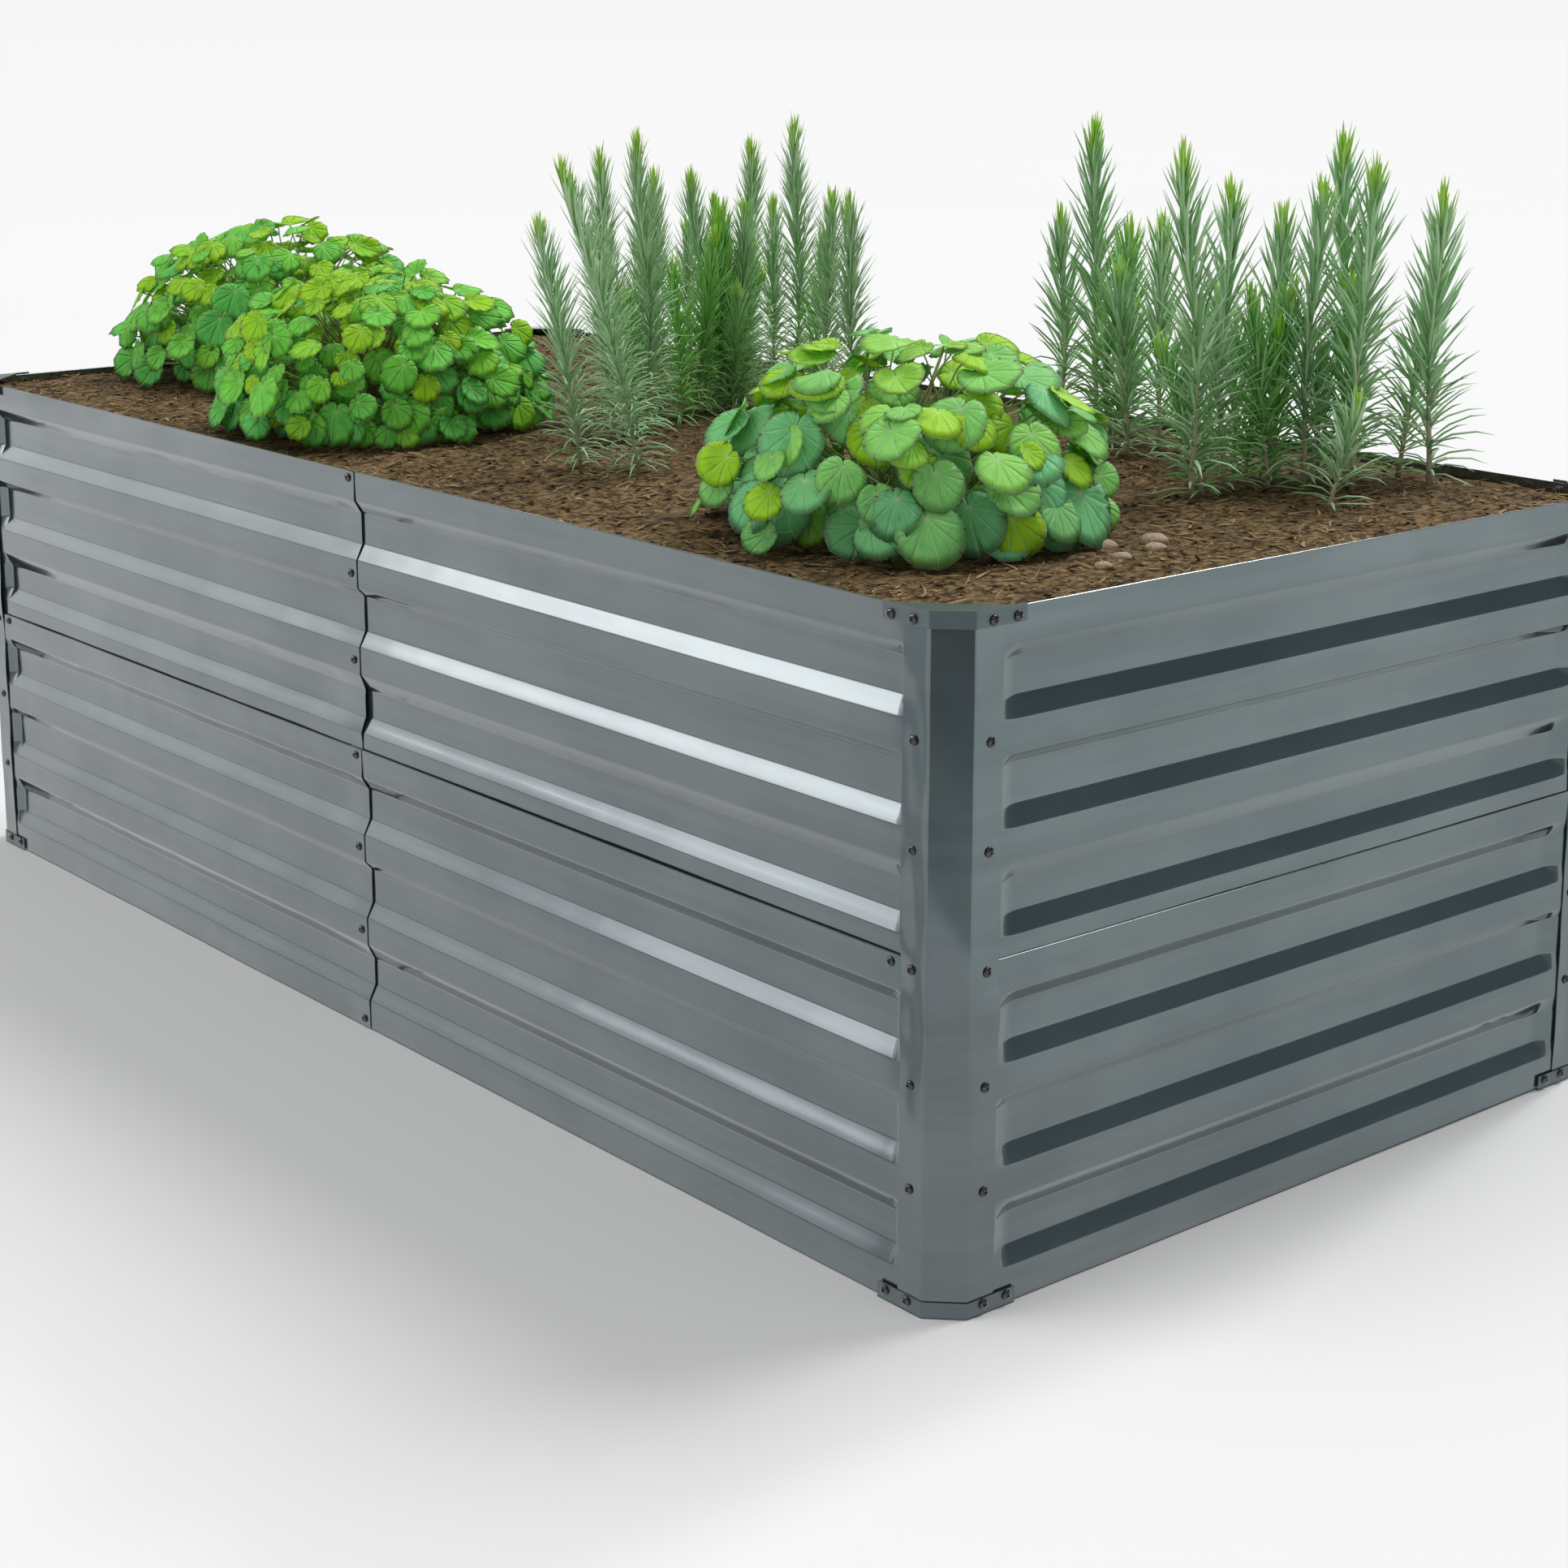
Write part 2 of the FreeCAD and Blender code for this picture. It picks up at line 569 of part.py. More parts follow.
os.makedirs("parts", exist_ok=True)
for node_name, node_shape in build().items():
    node_shape.exportStep("parts/%s.step" % node_name)
    valid = all(solid.isValid() for solid in node_shape.Solids)
    print("%-30s %3d solids  %12.1f mm3  valid %s"
          % (node_name, len(node_shape.Solids), node_shape.Volume, valid))
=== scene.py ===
"""The looks of a planted raised garden bed of coated corrugated steel.

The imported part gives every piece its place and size. Panels, posts, soil and plants are modelled here as
surfaces over the part's plain solids. Brackets, braces, screws and nuts keep their own shapes and get
their finishes. Lengths are in metres, with X along the bed, Y across it and Z up.
"""

from __future__ import annotations

import json
import logging
import math
from dataclasses import dataclass, field
from enum import Enum
from typing import Any, Sequence

import bpy
import numpy as np
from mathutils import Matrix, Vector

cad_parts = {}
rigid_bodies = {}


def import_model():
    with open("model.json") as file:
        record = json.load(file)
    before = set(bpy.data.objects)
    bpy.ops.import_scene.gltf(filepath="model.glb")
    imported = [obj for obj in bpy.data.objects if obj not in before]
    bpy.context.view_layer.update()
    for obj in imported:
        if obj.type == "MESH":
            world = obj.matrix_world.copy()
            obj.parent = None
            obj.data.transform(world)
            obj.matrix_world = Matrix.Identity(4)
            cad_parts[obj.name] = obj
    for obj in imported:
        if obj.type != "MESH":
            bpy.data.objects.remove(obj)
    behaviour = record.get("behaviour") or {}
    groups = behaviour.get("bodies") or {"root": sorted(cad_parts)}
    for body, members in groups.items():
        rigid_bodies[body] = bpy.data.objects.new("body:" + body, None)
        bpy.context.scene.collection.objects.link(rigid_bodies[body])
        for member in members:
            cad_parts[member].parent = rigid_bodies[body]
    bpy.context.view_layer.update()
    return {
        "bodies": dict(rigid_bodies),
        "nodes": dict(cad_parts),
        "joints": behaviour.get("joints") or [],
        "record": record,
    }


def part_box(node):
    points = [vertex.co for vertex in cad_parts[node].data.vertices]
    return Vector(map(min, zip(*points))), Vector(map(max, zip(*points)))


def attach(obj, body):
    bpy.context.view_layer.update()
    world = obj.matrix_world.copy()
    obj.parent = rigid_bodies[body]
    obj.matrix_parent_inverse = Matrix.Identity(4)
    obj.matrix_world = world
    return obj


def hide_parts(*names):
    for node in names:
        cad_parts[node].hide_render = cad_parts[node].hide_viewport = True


LOG = logging.getLogger("garden_bed")
MM = 0.001
BODY = "root"
GOLDEN_TURN = 2.39996
LEAF_MAP_SPAN = 2.8
Array = np.ndarray
Colour = tuple[float, float, float]
Point = tuple[float, float, float]
Span = tuple[float, float]
Finish = bpy.types.Material


# ---------------------------------------------------------------------- arithmetic on arrays
def smooth_step(low: float, high: float, value: Array) -> Array:
    """Gives 0 below low, 1 above high, and the cubic 3t^2 - 2t^3 of the way between.

    Args:
        low: Where the step begins.
        high: Where it ends; it may lie below low, which turns the step round.
        value: The numbers to pass through it.

    Returns:
        The step at each number.
    """
    share = np.clip((value - low) / (high - low), 0.0, 1.0)
    return share * share * (3.0 - 2.0 * share)


def soft_ramp(value: Array, start: float, end: float, bend: float) -> Array:
    """Gives a straight ramp from 0 at start to 1 at end whose two corners are parabolas.

    The ramp is the difference of two hinges over its length. A hinge is 0 before its corner and the
    distance past it after, with the parabola (t + bend)^2 / (4 bend) within bend of the corner.

    Args:
        value: Where to read the ramp.
        start: Where it leaves 0.
        end: Where it reaches 1.
        bend: Half the length of each rounded corner.

    Returns:
        The ramp at each value.
    """
    def hinge(t: Array) -> Array:
        """Gives the rounded positive part of t."""
        return np.where(t < -bend, 0.0, np.where(t > bend, t, (t + bend) ** 2 / (4.0 * bend)))

    return (hinge(value - start) - hinge(value - end)) / (end - start)


def waves(u: Array, v: Array, length_u: float, length_v: float, rng: np.random.Generator,
          count: int = 7) -> Array:
    """Adds up a few sine waves of random direction and phase, so that a flat sheet looks hand-straightened.

    Args:
        u: First coordinate.
        v: Second coordinate.
        length_u: Shortest wave along u.
        length_v: Shortest wave along v.
        rng: The source of directions and phases.
        count: How many waves are added.

    Returns:
        Heights with a spread of about 1.
    """
    total = np.zeros(np.broadcast(u, v).shape)
    for _ in range(count):
        turns_u = rng.uniform(-1.0, 1.0) / length_u
        turns_v = rng.uniform(-1.0, 1.0) / length_v
        total = total + np.sin(2 * np.pi * (u * turns_u + v * turns_v + rng.random()))
    return total / math.sqrt(count / 2.0)


def lattice_noise(x: Array, y: Array, cell: float, rng: np.random.Generator) -> Array:
    """Blends random heights on a square lattice, with a smooth step between the corners of each cell.

    Args:
        x: First coordinate.
        y: Second coordinate.
        cell: The lattice's spacing.
        rng: The source of the heights.

    Returns:
        Heights from -1 to 1.
    """
    column, row = (x - x.min()) / cell, (y - y.min()) / cell
    i, j = column.astype(int), row.astype(int)
    heights = rng.uniform(-1.0, 1.0, (int(row.max()) + 2, int(column.max()) + 2))
    s, t = smooth_step(0.0, 1.0, column - i), smooth_step(0.0, 1.0, row - j)
    low = heights[j, i] * (1 - s) + heights[j, i + 1] * s
    high = heights[j + 1, i] * (1 - s) + heights[j + 1, i + 1] * s
    return low * (1 - t) + high * t


def unit(vectors: Array) -> Array:
    """Scales vectors to length 1."""
    return vectors / np.maximum(np.linalg.norm(vectors, axis=-1, keepdims=True), 1e-9)


def turned(x: Array, y: Array, angle: float) -> tuple[Array, Array]:
    """Turns points round the upright axis: (x cos - y sin, x sin + y cos)."""
    c, s = math.cos(angle), math.sin(angle)
    return x * c - y * s, x * s + y * c


# ---------------------------------------------------------------------- meshes
def placed(name: str, data: bpy.types.ID) -> bpy.types.Object:
    """Puts data into the scene as an object at the origin.

    Args:
        name: The object's name.
        data: Its mesh, light or camera.

    Returns:
        The object.
    """
    thing = bpy.data.objects.new(name, data)
    bpy.context.scene.collection.objects.link(thing)
    return thing


def grid_faces(rows: int, columns: int, wrap: bool = False, first: int = 0) -> Array:
    """Gives the quads of a grid of points numbered row by row.

    Args:
        rows: Number of rows of points.
        columns: Number of points in a row.
        wrap: Whether the last column joins the first.
        first: The number of the grid's first point.

    Returns:
        Quads, one row of four point numbers each.
    """
    across = columns if wrap else columns - 1
    i, j = np.meshgrid(np.arange(rows - 1), np.arange(across), indexing="ij")
    right = (j + 1) % columns
    quads = np.stack([i * columns + j, i * columns + right, (i + 1) * columns + right,
                      (i + 1) * columns + j], axis=-1)
    return quads.reshape(-1, 4) + first


def fan_faces(count: int, hub: int = 0, first: int = 1) -> Array:
    """Gives the triangles between one point and a closed ring of points.

    Args:
        count: How many points the ring has.
        hub: The number of the point in its middle.
        first: The number of the ring's first point.

    Returns:
        Triangles, one row of three point numbers each.
    """
    ring = np.arange(count)
    return np.stack([np.full(count, hub), ring + first, (ring + 1) % count + first], axis=1)


def copies(faces: Array, points_each: int, count: int) -> Array:
    """Repeats the faces of one shape for many shapes whose points follow each other.

    Args:
        faces: The faces of the first shape.
        points_each: How many points a shape has.
        count: How many shapes there are.

    Returns:
        The faces of all shapes.
    """
    shift = np.arange(count)[:, None, None] * points_each
    return (faces[None] + shift).reshape(-1, faces.shape[1])


@dataclass
class Skin:
    """Points and faces on their way to becoming one mesh, with numbers on the points and a UV map."""

    points: Array
    faces: list[Array]
    numbers: dict[str, Array] = field(default_factory=dict)
    uv: Array | None = None

    @staticmethod
    def together(skins: Sequence[Skin]) -> Skin:
        """Puts several skins into one. Numbers that a skin lacks are 0 on its points.

        Args:
            skins: The skins, in the order that their points get.

        Returns:
            The one skin, with a UV map if all of them have one.
        """
        faces: list[Array] = []
        first = 0
        for skin in skins:
            faces += [f + first for f in skin.faces]
            first += len(skin.points)
        names = sorted({name for skin in skins for name in skin.numbers})
        numbers = {name: np.concatenate([s.numbers.get(name, np.zeros(len(s.points))) for s in skins])
                   for name in names}
        uv = None
        if all(skin.uv is not None for skin in skins):
            uv = np.concatenate([skin.uv for skin in skins])
        return Skin(np.concatenate([skin.points for skin in skins]), faces, numbers, uv)

    def piece(self, name: str, material: Finish, slot: str, *nodes: str,
              sharp: float | None = None) -> None:
        """Makes the mesh, dresses it and lets it stand for the part's own solids.

        Args:
            name: The piece's name.
            material: Its finish.
            slot: The record's material slot; not used.
            *nodes: The solids that it stands for.
            sharp: The angle in degrees past which an edge stays sharp, or None for smooth all over.
        """
        mesh = bpy.data.meshes.new(name)
        corners = np.concatenate([f.ravel() for f in self.faces])
        sizes = np.concatenate([np.full(len(f), f.shape[1]) for f in self.faces])
        mesh.vertices.add(len(self.points))
        mesh.vertices.foreach_set("co", self.points.astype(np.float32).ravel())
        mesh.loops.add(len(corners))
        mesh.loops.foreach_set("vertex_index", corners.astype(np.int32))
        mesh.polygons.add(len(sizes))
        mesh.polygons.foreach_set("loop_start", (np.cumsum(sizes) - sizes).astype(np.int32))
        mesh.update(calc_edges=True)
        mesh.validate()
        mesh.shade_smooth()
        if sharp is not None:
            mesh.set_sharp_from_angle(angle=math.radians(sharp))
        for title, numbers in self.numbers.items():
            layer = mesh.attributes.new(title, "FLOAT", "POINT")
            layer.data.foreach_set("value", numbers.astype(np.float32))
        if self.uv is not None:
            layer = mesh.uv_layers.new(name="UVMap")
            layer.data.foreach_set("uv", self.uv[corners].astype(np.float32).ravel())
        mesh.materials.append(material)
        piece = placed(name, mesh)
        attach(piece, BODY)
        if nodes:
            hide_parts(*nodes)
        LOG.info("%s: %d points, %d faces", name, len(self.points), len(sizes))


def tubes(paths: Array, radii: Array, sides: int, flatness: float = 1.0) -> Skin:
    """Carries a round section along many paths at once and closes both ends.

    The section is a regular polygon square to the path. Its first axis is the path's direction crossed
    with up, and its second is square to both. The second may be squeezed for a flat blade.

    Args:
        paths: Points, as path by point by 3.
        radii: The section's radius, as path by point.
        sides: How many sides the polygon has.
        flatness: The second radius as a share of the first.

    Returns:
        The skin of all tubes, with UV across and along each.
    """
    count, length = paths.shape[:2]
    along = unit(np.gradient(paths, axis=1))
    side = np.cross(along, np.array([0.0, 0.0, 1.0]))
    upright = np.linalg.norm(side, axis=-1, keepdims=True) < 1e-3
    side = unit(np.where(upright, np.array([1.0, 0.0, 0.0]), side))
    above = np.cross(side, along)
    angle = 2 * np.pi * np.arange(sides) / sides
    ring = (side[:, :, None] * np.cos(angle)[:, None]
            + above[:, :, None] * (flatness * np.sin(angle))[:, None])
    points = paths[:, :, None] + ring * radii[:, :, None, None]
    quads = copies(grid_faces(length, sides, wrap=True), length * sides, count)
    cap = np.arange(sides)[None, ::-1]
    caps = np.concatenate([copies(cap, length * sides, count),
                           copies(cap[:, ::-1] + (length - 1) * sides, length * sides, count)])
    uv = np.stack(np.broadcast_arrays((np.arange(sides) / sides)[None, None, :],
                                      np.linspace(0, 1, length)[None, :, None],
                                      np.zeros((count, 1, 1)))[:2], axis=-1).reshape(-1, 2)
    return Skin(points.reshape(-1, 3), [quads, caps], uv=uv)


# ---------------------------------------------------------------------- materials
class Number:
    """A number in a material. Python's operators on it add Math nodes."""

    def __init__(self, recipe: Recipe, socket: bpy.types.NodeSocket) -> None:
        """Wraps a socket that gives a number."""
        self.recipe = recipe
        self.socket = socket

    def math(self, operation: str, *others: Number | float) -> Number:
        """Puts this number and others through one Math node."""
        inputs = {index: value for index, value in enumerate((self, *others))}
        return self.recipe.number("ShaderNodeMath", {"operation": operation}, inputs)

    def __add__(self, other: Number | float) -> Number:
        """Adds."""
        return self.math("ADD", other)

    def __sub__(self, other: Number | float) -> Number:
        """Subtracts."""
        return self.math("SUBTRACT", other)

    def __rsub__(self, other: float) -> Number:
        """Subtracts from a plain number."""
        return (self * -1.0) + other

    def __mul__(self, other: Number | float) -> Number:
        """Multiplies."""
        return self.math("MULTIPLY", other)

    def __pow__(self, other: float) -> Number:
        """Raises to a power."""
        return self.math("POWER", other)

    __radd__ = __add__
    __rmul__ = __mul__

    def step(self, low: float, high: float) -> Number:
        """Gives a smooth step from 0 at low to 1 at high."""
        settings = {"interpolation_type": "SMOOTHSTEP"}
        return self.recipe.number("ShaderNodeMapRange", settings,
                                  {"Value": self, "From Min": low, "From Max": high})

    def span(self, low: float, high: float) -> Number:
        """Carries 0 to 1 on to low to high."""
        return self * (high - low) + low


class Recipe:
    """The nodes of one material, or of the room, in the making."""

    def __init__(self, owner: Finish | bpy.types.World) -> None:
        """Starts with no nodes."""
        self.owner = owner
        owner.use_nodes = True
        self.tree = owner.node_tree
        self.tree.nodes.clear()

    @classmethod
    def named(cls, name: str) -> Recipe:
        """Starts a new material of that name."""
        return cls(bpy.data.materials.new(name))

    def node(self, kind: str, settings: dict[str, Any] | None = None,
             sockets: dict[str | int, Any] | None = None) -> bpy.types.Node:
        """Adds a node, sets it, and then feeds its sockets.

        Args:
            kind: The node's type.
            settings: Its properties; "stops" are a ramp's (place, colour) pairs.
            sockets: Values or links, by socket name or number.

        Returns:
            The node.
        """
        node = self.tree.nodes.new(kind)
        for name, value in (settings or {}).items():
            if name == "stops":
                while len(node.color_ramp.elements) < len(value):
                    node.color_ramp.elements.new(0.5)
                for element, (place, colour) in zip(node.color_ramp.elements, value):
                    element.position = place
                    element.color = (*colour, 1.0)
            else:
                setattr(node, name, value)
        for key, value in (sockets or {}).items():
            socket = node.inputs[key]
            if isinstance(value, Number):
                self.tree.links.new(value.socket, socket)
            elif isinstance(value, bpy.types.NodeSocket):
                self.tree.links.new(value, socket)
            elif isinstance(value, tuple) and len(socket.default_value) == 4:
                socket.default_value = (*value, 1.0)
            else:
                socket.default_value = value
        return node

    def number(self, kind: str, settings: dict[str, Any] | None = None,
               sockets: dict[str | int, Any] | None = None, output: str | int = 0) -> Number:
        """Adds a node, as above, and wraps the number that the output of that name or place gives."""
        return Number(self, self.node(kind, settings, sockets).outputs[output])

    def place(self, stretch: Colour = (1.0, 1.0, 1.0)) -> bpy.types.NodeSocket:
        """Gives the point on the object.

        Args:
            stretch: What the point's coordinates are multiplied by.

        Returns:
            The point's socket, in metres.
        """
        point = self.node("ShaderNodeTexCoord").outputs["Object"]
        if stretch == (1.0, 1.0, 1.0):
            return point
        return self.node("ShaderNodeMapping", None, {"Vector": point, "Scale": stretch}).outputs[0]

    def noise(self, scale: float, detail: float = 2.0, roughness: float = 0.5,
              at: bpy.types.NodeSocket | None = None, distortion: float = 0.0) -> Number:
        """Gives soft noise.

        Args:
            scale: How many lumps it has to the metre.
            detail: How many finer layers lie over them.
            roughness: How strong each finer layer is.
            at: The point that it is taken at, or None for the object's own.
            distortion: How far the lumps are swirled.

        Returns:
            A number from 0 to 1.
        """
        return self.number("ShaderNodeTexNoise", None,
                           {"Vector": at or self.place(), "Scale": scale, "Detail": detail,
                            "Roughness": roughness, "Distortion": distortion}, "Fac")

    def mark(self, name: str) -> Number:
        """Gives a number that the mesh carries on its points."""
        return self.number("ShaderNodeAttribute", {"attribute_name": name}, None, "Fac")

    def uv(self) -> tuple[Number, Number]:
        """Gives the piece's own UV map as two numbers."""
        point = self.node("ShaderNodeTexCoord").outputs["UV"]
        split = self.node("ShaderNodeSeparateXYZ", None, {0: point})
        return Number(self, split.outputs[0]), Number(self, split.outputs[1])

    def mix(self, low: Any, high: Any, share: Number | float) -> bpy.types.NodeSocket:
        """Mixes two colours."""
        return self.node("ShaderNodeMix", {"data_type": "RGBA"},
                         {0: share, 6: low, 7: high}).outputs[2]

    def bump(self, height: Number, depth: float, strength: float = 1.0) -> bpy.types.NodeSocket:
        """Gives the normals of a surface raised by height times depth in metres."""
        return self.node("ShaderNodeBump", None,
                         {"Height": height, "Distance": depth, "Strength": strength}).outputs[0]

    def finish(self, **sockets: Any) -> Finish:
        """Feeds a Principled shader and ends the material; underscores stand for spaces."""
        named = {name.replace("_", " "): value for name, value in sockets.items()}
        shader = self.node("ShaderNodeBsdfPrincipled", None, named)
        self.node("ShaderNodeOutputMaterial", None, {"Surface": shader.outputs[0]})
        return self.owner


@dataclass(frozen=True)
class CoatedSteel:
    """Grey enamelled steel sheet: a glossy coat over a grey base that holds fine metal flakes."""

    name: str
    base: Colour
    deep: Colour
    roughness: float = 0.135
    spread: float = 0.03
    metallic: float = 0.80
    coat: float = 0.50
    coat_roughness: float = 0.05
    peel_depth: float = 0.022 * MM

    def material(self) -> Finish:
        """Makes the finish: drawn streaks, soft clouds, faint handling marks and a slight orange peel."""
        recipe = Recipe.named(self.name)
        clouds = recipe.noise(5.0, 3.0, 0.55)
        streaks = recipe.noise(60.0, 3.0, 0.6, recipe.place((0.06, 0.06, 1.0)))
        marks = recipe.noise(38.0, 5.0, 0.7, distortion=0.6).step(0.60, 0.78)
        tone = clouds * 0.6 + streaks * 0.4
        colour = recipe.mix(self.deep, self.base, tone.step(0.32, 0.68))
        colour = recipe.mix(colour, self.deep, marks * 0.25)
        rough = clouds.span(self.roughness - self.spread, self.roughness + self.spread) + marks * 0.05
        peel = recipe.noise(95.0, 2.0)
        return recipe.finish(Base_Color=colour, Metallic=self.metallic, Roughness=rough,
                             Coat_Weight=self.coat, Coat_Roughness=self.coat_roughness,
                             Normal=recipe.bump(peel, self.peel_depth))


@dataclass(frozen=True)
class BlackNickel:
    """The dark bright plating of the screws."""

    name: str = "black_nickel"
    dark: Colour = (0.055, 0.056, 0.060)
    speck: Colour = (0.13, 0.128, 0.125)
    roughness: Span = (0.07, 0.22)

    def material(self) -> Finish:
        """Makes the finish: nearly black, mirror-like, with dull specks."""
        recipe = Recipe.named(self.name)
        specks = recipe.noise(700.0, 2.0, 0.6).step(0.5, 0.75)
        return recipe.finish(Base_Color=recipe.mix(self.dark, self.speck, specks), Metallic=1.0,
                             Roughness=specks.span(*self.roughness), Coat_Weight=0.6,
                             Coat_Roughness=0.05)


@dataclass(frozen=True)
class ZincPlate:
    """The pale bluish plating of nuts and braces."""

    name: str = "zinc_plate"
    deep: Colour = (0.38, 0.40, 0.43)
    pale: Colour = (0.62, 0.63, 0.65)
    roughness: Span = (0.22, 0.45)

    def material(self) -> Finish:
        """Makes the finish: silvery grey with fine cloudy crystals."""
        recipe = Recipe.named(self.name)
        crystals = recipe.noise(260.0, 3.0, 0.6)
        colour = recipe.mix(self.deep, self.pale, crystals.step(0.35, 0.7))
        return recipe.finish(Base_Color=colour, Metallic=1.0, Roughness=crystals.span(*self.roughness))


@dataclass(frozen=True)
class GrowingMix:
    """Moist fibrous growing mix: brown fibres and paler bark, with shade painted dark in the gaps between
    crumbs.
    """

    name: str = "growing_mix"
    peat: Colour = (0.050, 0.031, 0.015)
    fibre: Colour = (0.290, 0.190, 0.088)
    straw: Colour = (0.60, 0.45, 0.25)
    # Painted shade: crumb is the dark tone laid in the gaps between crumbs.
    crumb: Colour = (0.030, 0.018, 0.010)
    damp: Colour = (0.060, 0.036, 0.018)
    chip: Colour = (0.46, 0.32, 0.17)
    roughness: Span = (0.72, 0.95)
    relief: float = 3.0 * MM

    def material(self) -> Finish:
        """Makes the finish from painted shade in the gaps between crumbs, two sets of crossing fibres and
        each chip's own tone.
        """
        recipe = Recipe.named(self.name)
        crumbs = recipe.number("ShaderNodeTexVoronoi", None,
                               {"Vector": recipe.place(), "Scale": 130.0, "Randomness": 1.0}, "Distance")
        fibres = recipe.noise(170.0, 4.0, 0.7, recipe.place((1.0, 0.42, 1.0)), 0.8)
        crossing = recipe.noise(190.0, 4.0, 0.7, recipe.place((0.40, 1.0, 1.0)), 0.8)
        patches = recipe.noise(9.0, 3.0, 0.6)
        colour = recipe.mix(self.peat, self.fibre, fibres.step(0.34, 0.64))
        # The crumb tone is painted shade: it darkens the gaps, far from each crumb's middle.
        for tone, share in ((self.straw, crossing.step(0.57, 0.72) * 0.9),
                            (self.crumb, crumbs.step(0.42, 0.85) * 0.75),
                            (self.damp, patches.step(0.45, 0.7) * 0.4),
                            (self.chip, recipe.mark("chip").step(0.30, 1.0) * 0.9)):
            colour = recipe.mix(colour, tone, share)
        height = crumbs * 0.7 + fibres * 0.8 + crossing * 0.6
        return recipe.finish(Base_Color=colour, Roughness=crossing.span(*self.roughness),
                             Specular_IOR_Level=0.12, Normal=recipe.bump(height, self.relief, 0.9))


@dataclass(frozen=True)
class Pebble:
    """Sandy river stones."""

    name: str = "pebble"
    buff: Colour = (0.26, 0.17, 0.10)
    pale: Colour = (0.52, 0.40, 0.28)
    roughness: Span = (0.5, 0.8)
    relief: float = 0.6 * MM

    def material(self) -> Finish:
        """Makes the finish: buff with darker flecks and dusty hollows."""
        recipe = Recipe.named(self.name)
        flecks = recipe.noise(420.0, 4.0, 0.7)
        colour = recipe.mix(self.buff, self.pale, flecks.step(0.3, 0.65))
        return recipe.finish(Base_Color=colour, Roughness=flecks.span(*self.roughness),
                             Normal=recipe.bump(flecks, self.relief))


@dataclass(frozen=True)
class LeafBlade:
    """A round ribbed leaf: fine pale veins fan out from the stalk's end over a green that turns with age."""

    name: str
    young: Colour
    middle: Colour
    grown: Colour
    vein: Colour
    veins: int = 11
    pleats: float = 1.1 * MM
    shade: Colour = (0.010, 0.075, 0.012)
    # Painted shade: the dark tone of the slit behind the stalk, where the closed blade has no gap.
    painted_slit_shade: Colour = (0.015, 0.05, 0.01)
    heart: Colour = (0.62, 0.66, 0.34)
    roughness: Span = (0.42, 0.62)

    def material(self) -> Finish:
        """Makes the finish from the leaf's own UV map, whose middle is where the stalk joins.

        The distance to the nearest main vein is the distance from the middle times the sine of half the
        number of veins times the angle. A vein is where that distance is small. Past half way each vein
        forks, which doubles the number. Between veins the blade bulges.
        """
        recipe = Recipe.named(self.name)
        u, v = recipe.uv()
        x, y = (u - 0.5) * LEAF_MAP_SPAN, (v - 0.5) * LEAF_MAP_SPAN
        reach = (x * x + y * y) ** 0.5
        angle = recipe.number("ShaderNodeMath", {"operation": "ARCTAN2"}, {0: y, 1: x})
        wavy = angle + (recipe.noise(55.0, 2.0) * 0.5 - 0.25) * 0.35
        near = (wavy * (self.veins / 2)).math("SINE").math("ABSOLUTE") * reach * (2.0 / self.veins)
        fork = (wavy * float(self.veins)).math("SINE").math("ABSOLUTE") * reach * (1.0 / self.veins)
        ribs = near.step(0.022, 0.006)
        forks = fork.step(0.016, 0.004) * reach.step(0.45, 0.7)
        # Painted shade along the slit: a thin dark line from the middle to the rim behind the stalk.
        painted_slit_shade = ((math.pi - angle.math("ABSOLUTE")) * reach).step(0.030, 0.008)
        web = recipe.number("ShaderNodeTexVoronoi", {"feature": "DISTANCE_TO_EDGE"},
                            {"Vector": recipe.place(), "Scale": 330.0}, "Distance").step(0.09, 0.0)
        age, rim = recipe.mark("age"), recipe.mark("rim")
        mottle = recipe.noise(60.0, 3.0, 0.6)
        colour = self.young
        for tone, share in ((self.middle, age.step(0.12, 0.42)),
                            (self.grown, age.step(0.45, 0.95)),
                            (self.shade, mottle.step(0.42, 0.8) * 0.32),
                            (self.vein, ribs * 0.42 + forks * 0.26 + web * 0.08),
                            (self.vein, rim.step(0.93, 1.0) * 0.35),
                            (self.painted_slit_shade, painted_slit_shade * 0.7),
                            (self.heart, reach.step(0.075, 0.03) * 0.85)):
            colour = recipe.mix(colour, tone, share)
        relief = near.step(0.0, 0.10) * 0.9 + fork.step(0.0, 0.05) * 0.35 + mottle * 0.25 - web * 0.10
        return recipe.finish(Base_Color=colour, Roughness=mottle.span(*self.roughness),
                             Specular_IOR_Level=0.22, Subsurface_Weight=0.3,
                             Subsurface_Radius=(0.6, 1.0, 0.2), Subsurface_Scale=0.004,
                             Normal=recipe.bump(relief, self.pleats, 0.9))


@dataclass(frozen=True)
class Stalk:
    """A stem or leaf stalk that turns from one colour at its foot to another at its end."""

    name: str
    foot: Colour
    end: Colour

    def material(self) -> Finish:
        """Makes the finish from the stalk's UV map, which runs along it."""
        recipe = Recipe.named(self.name)
        _, along = recipe.uv()
        grain = recipe.noise(300.0, 3.0, 0.6)
        colour = recipe.mix(self.foot, self.end, (along + grain * 0.3).step(0.2, 1.0))
        return recipe.finish(Base_Color=colour, Roughness=grain.span(0.45, 0.7))


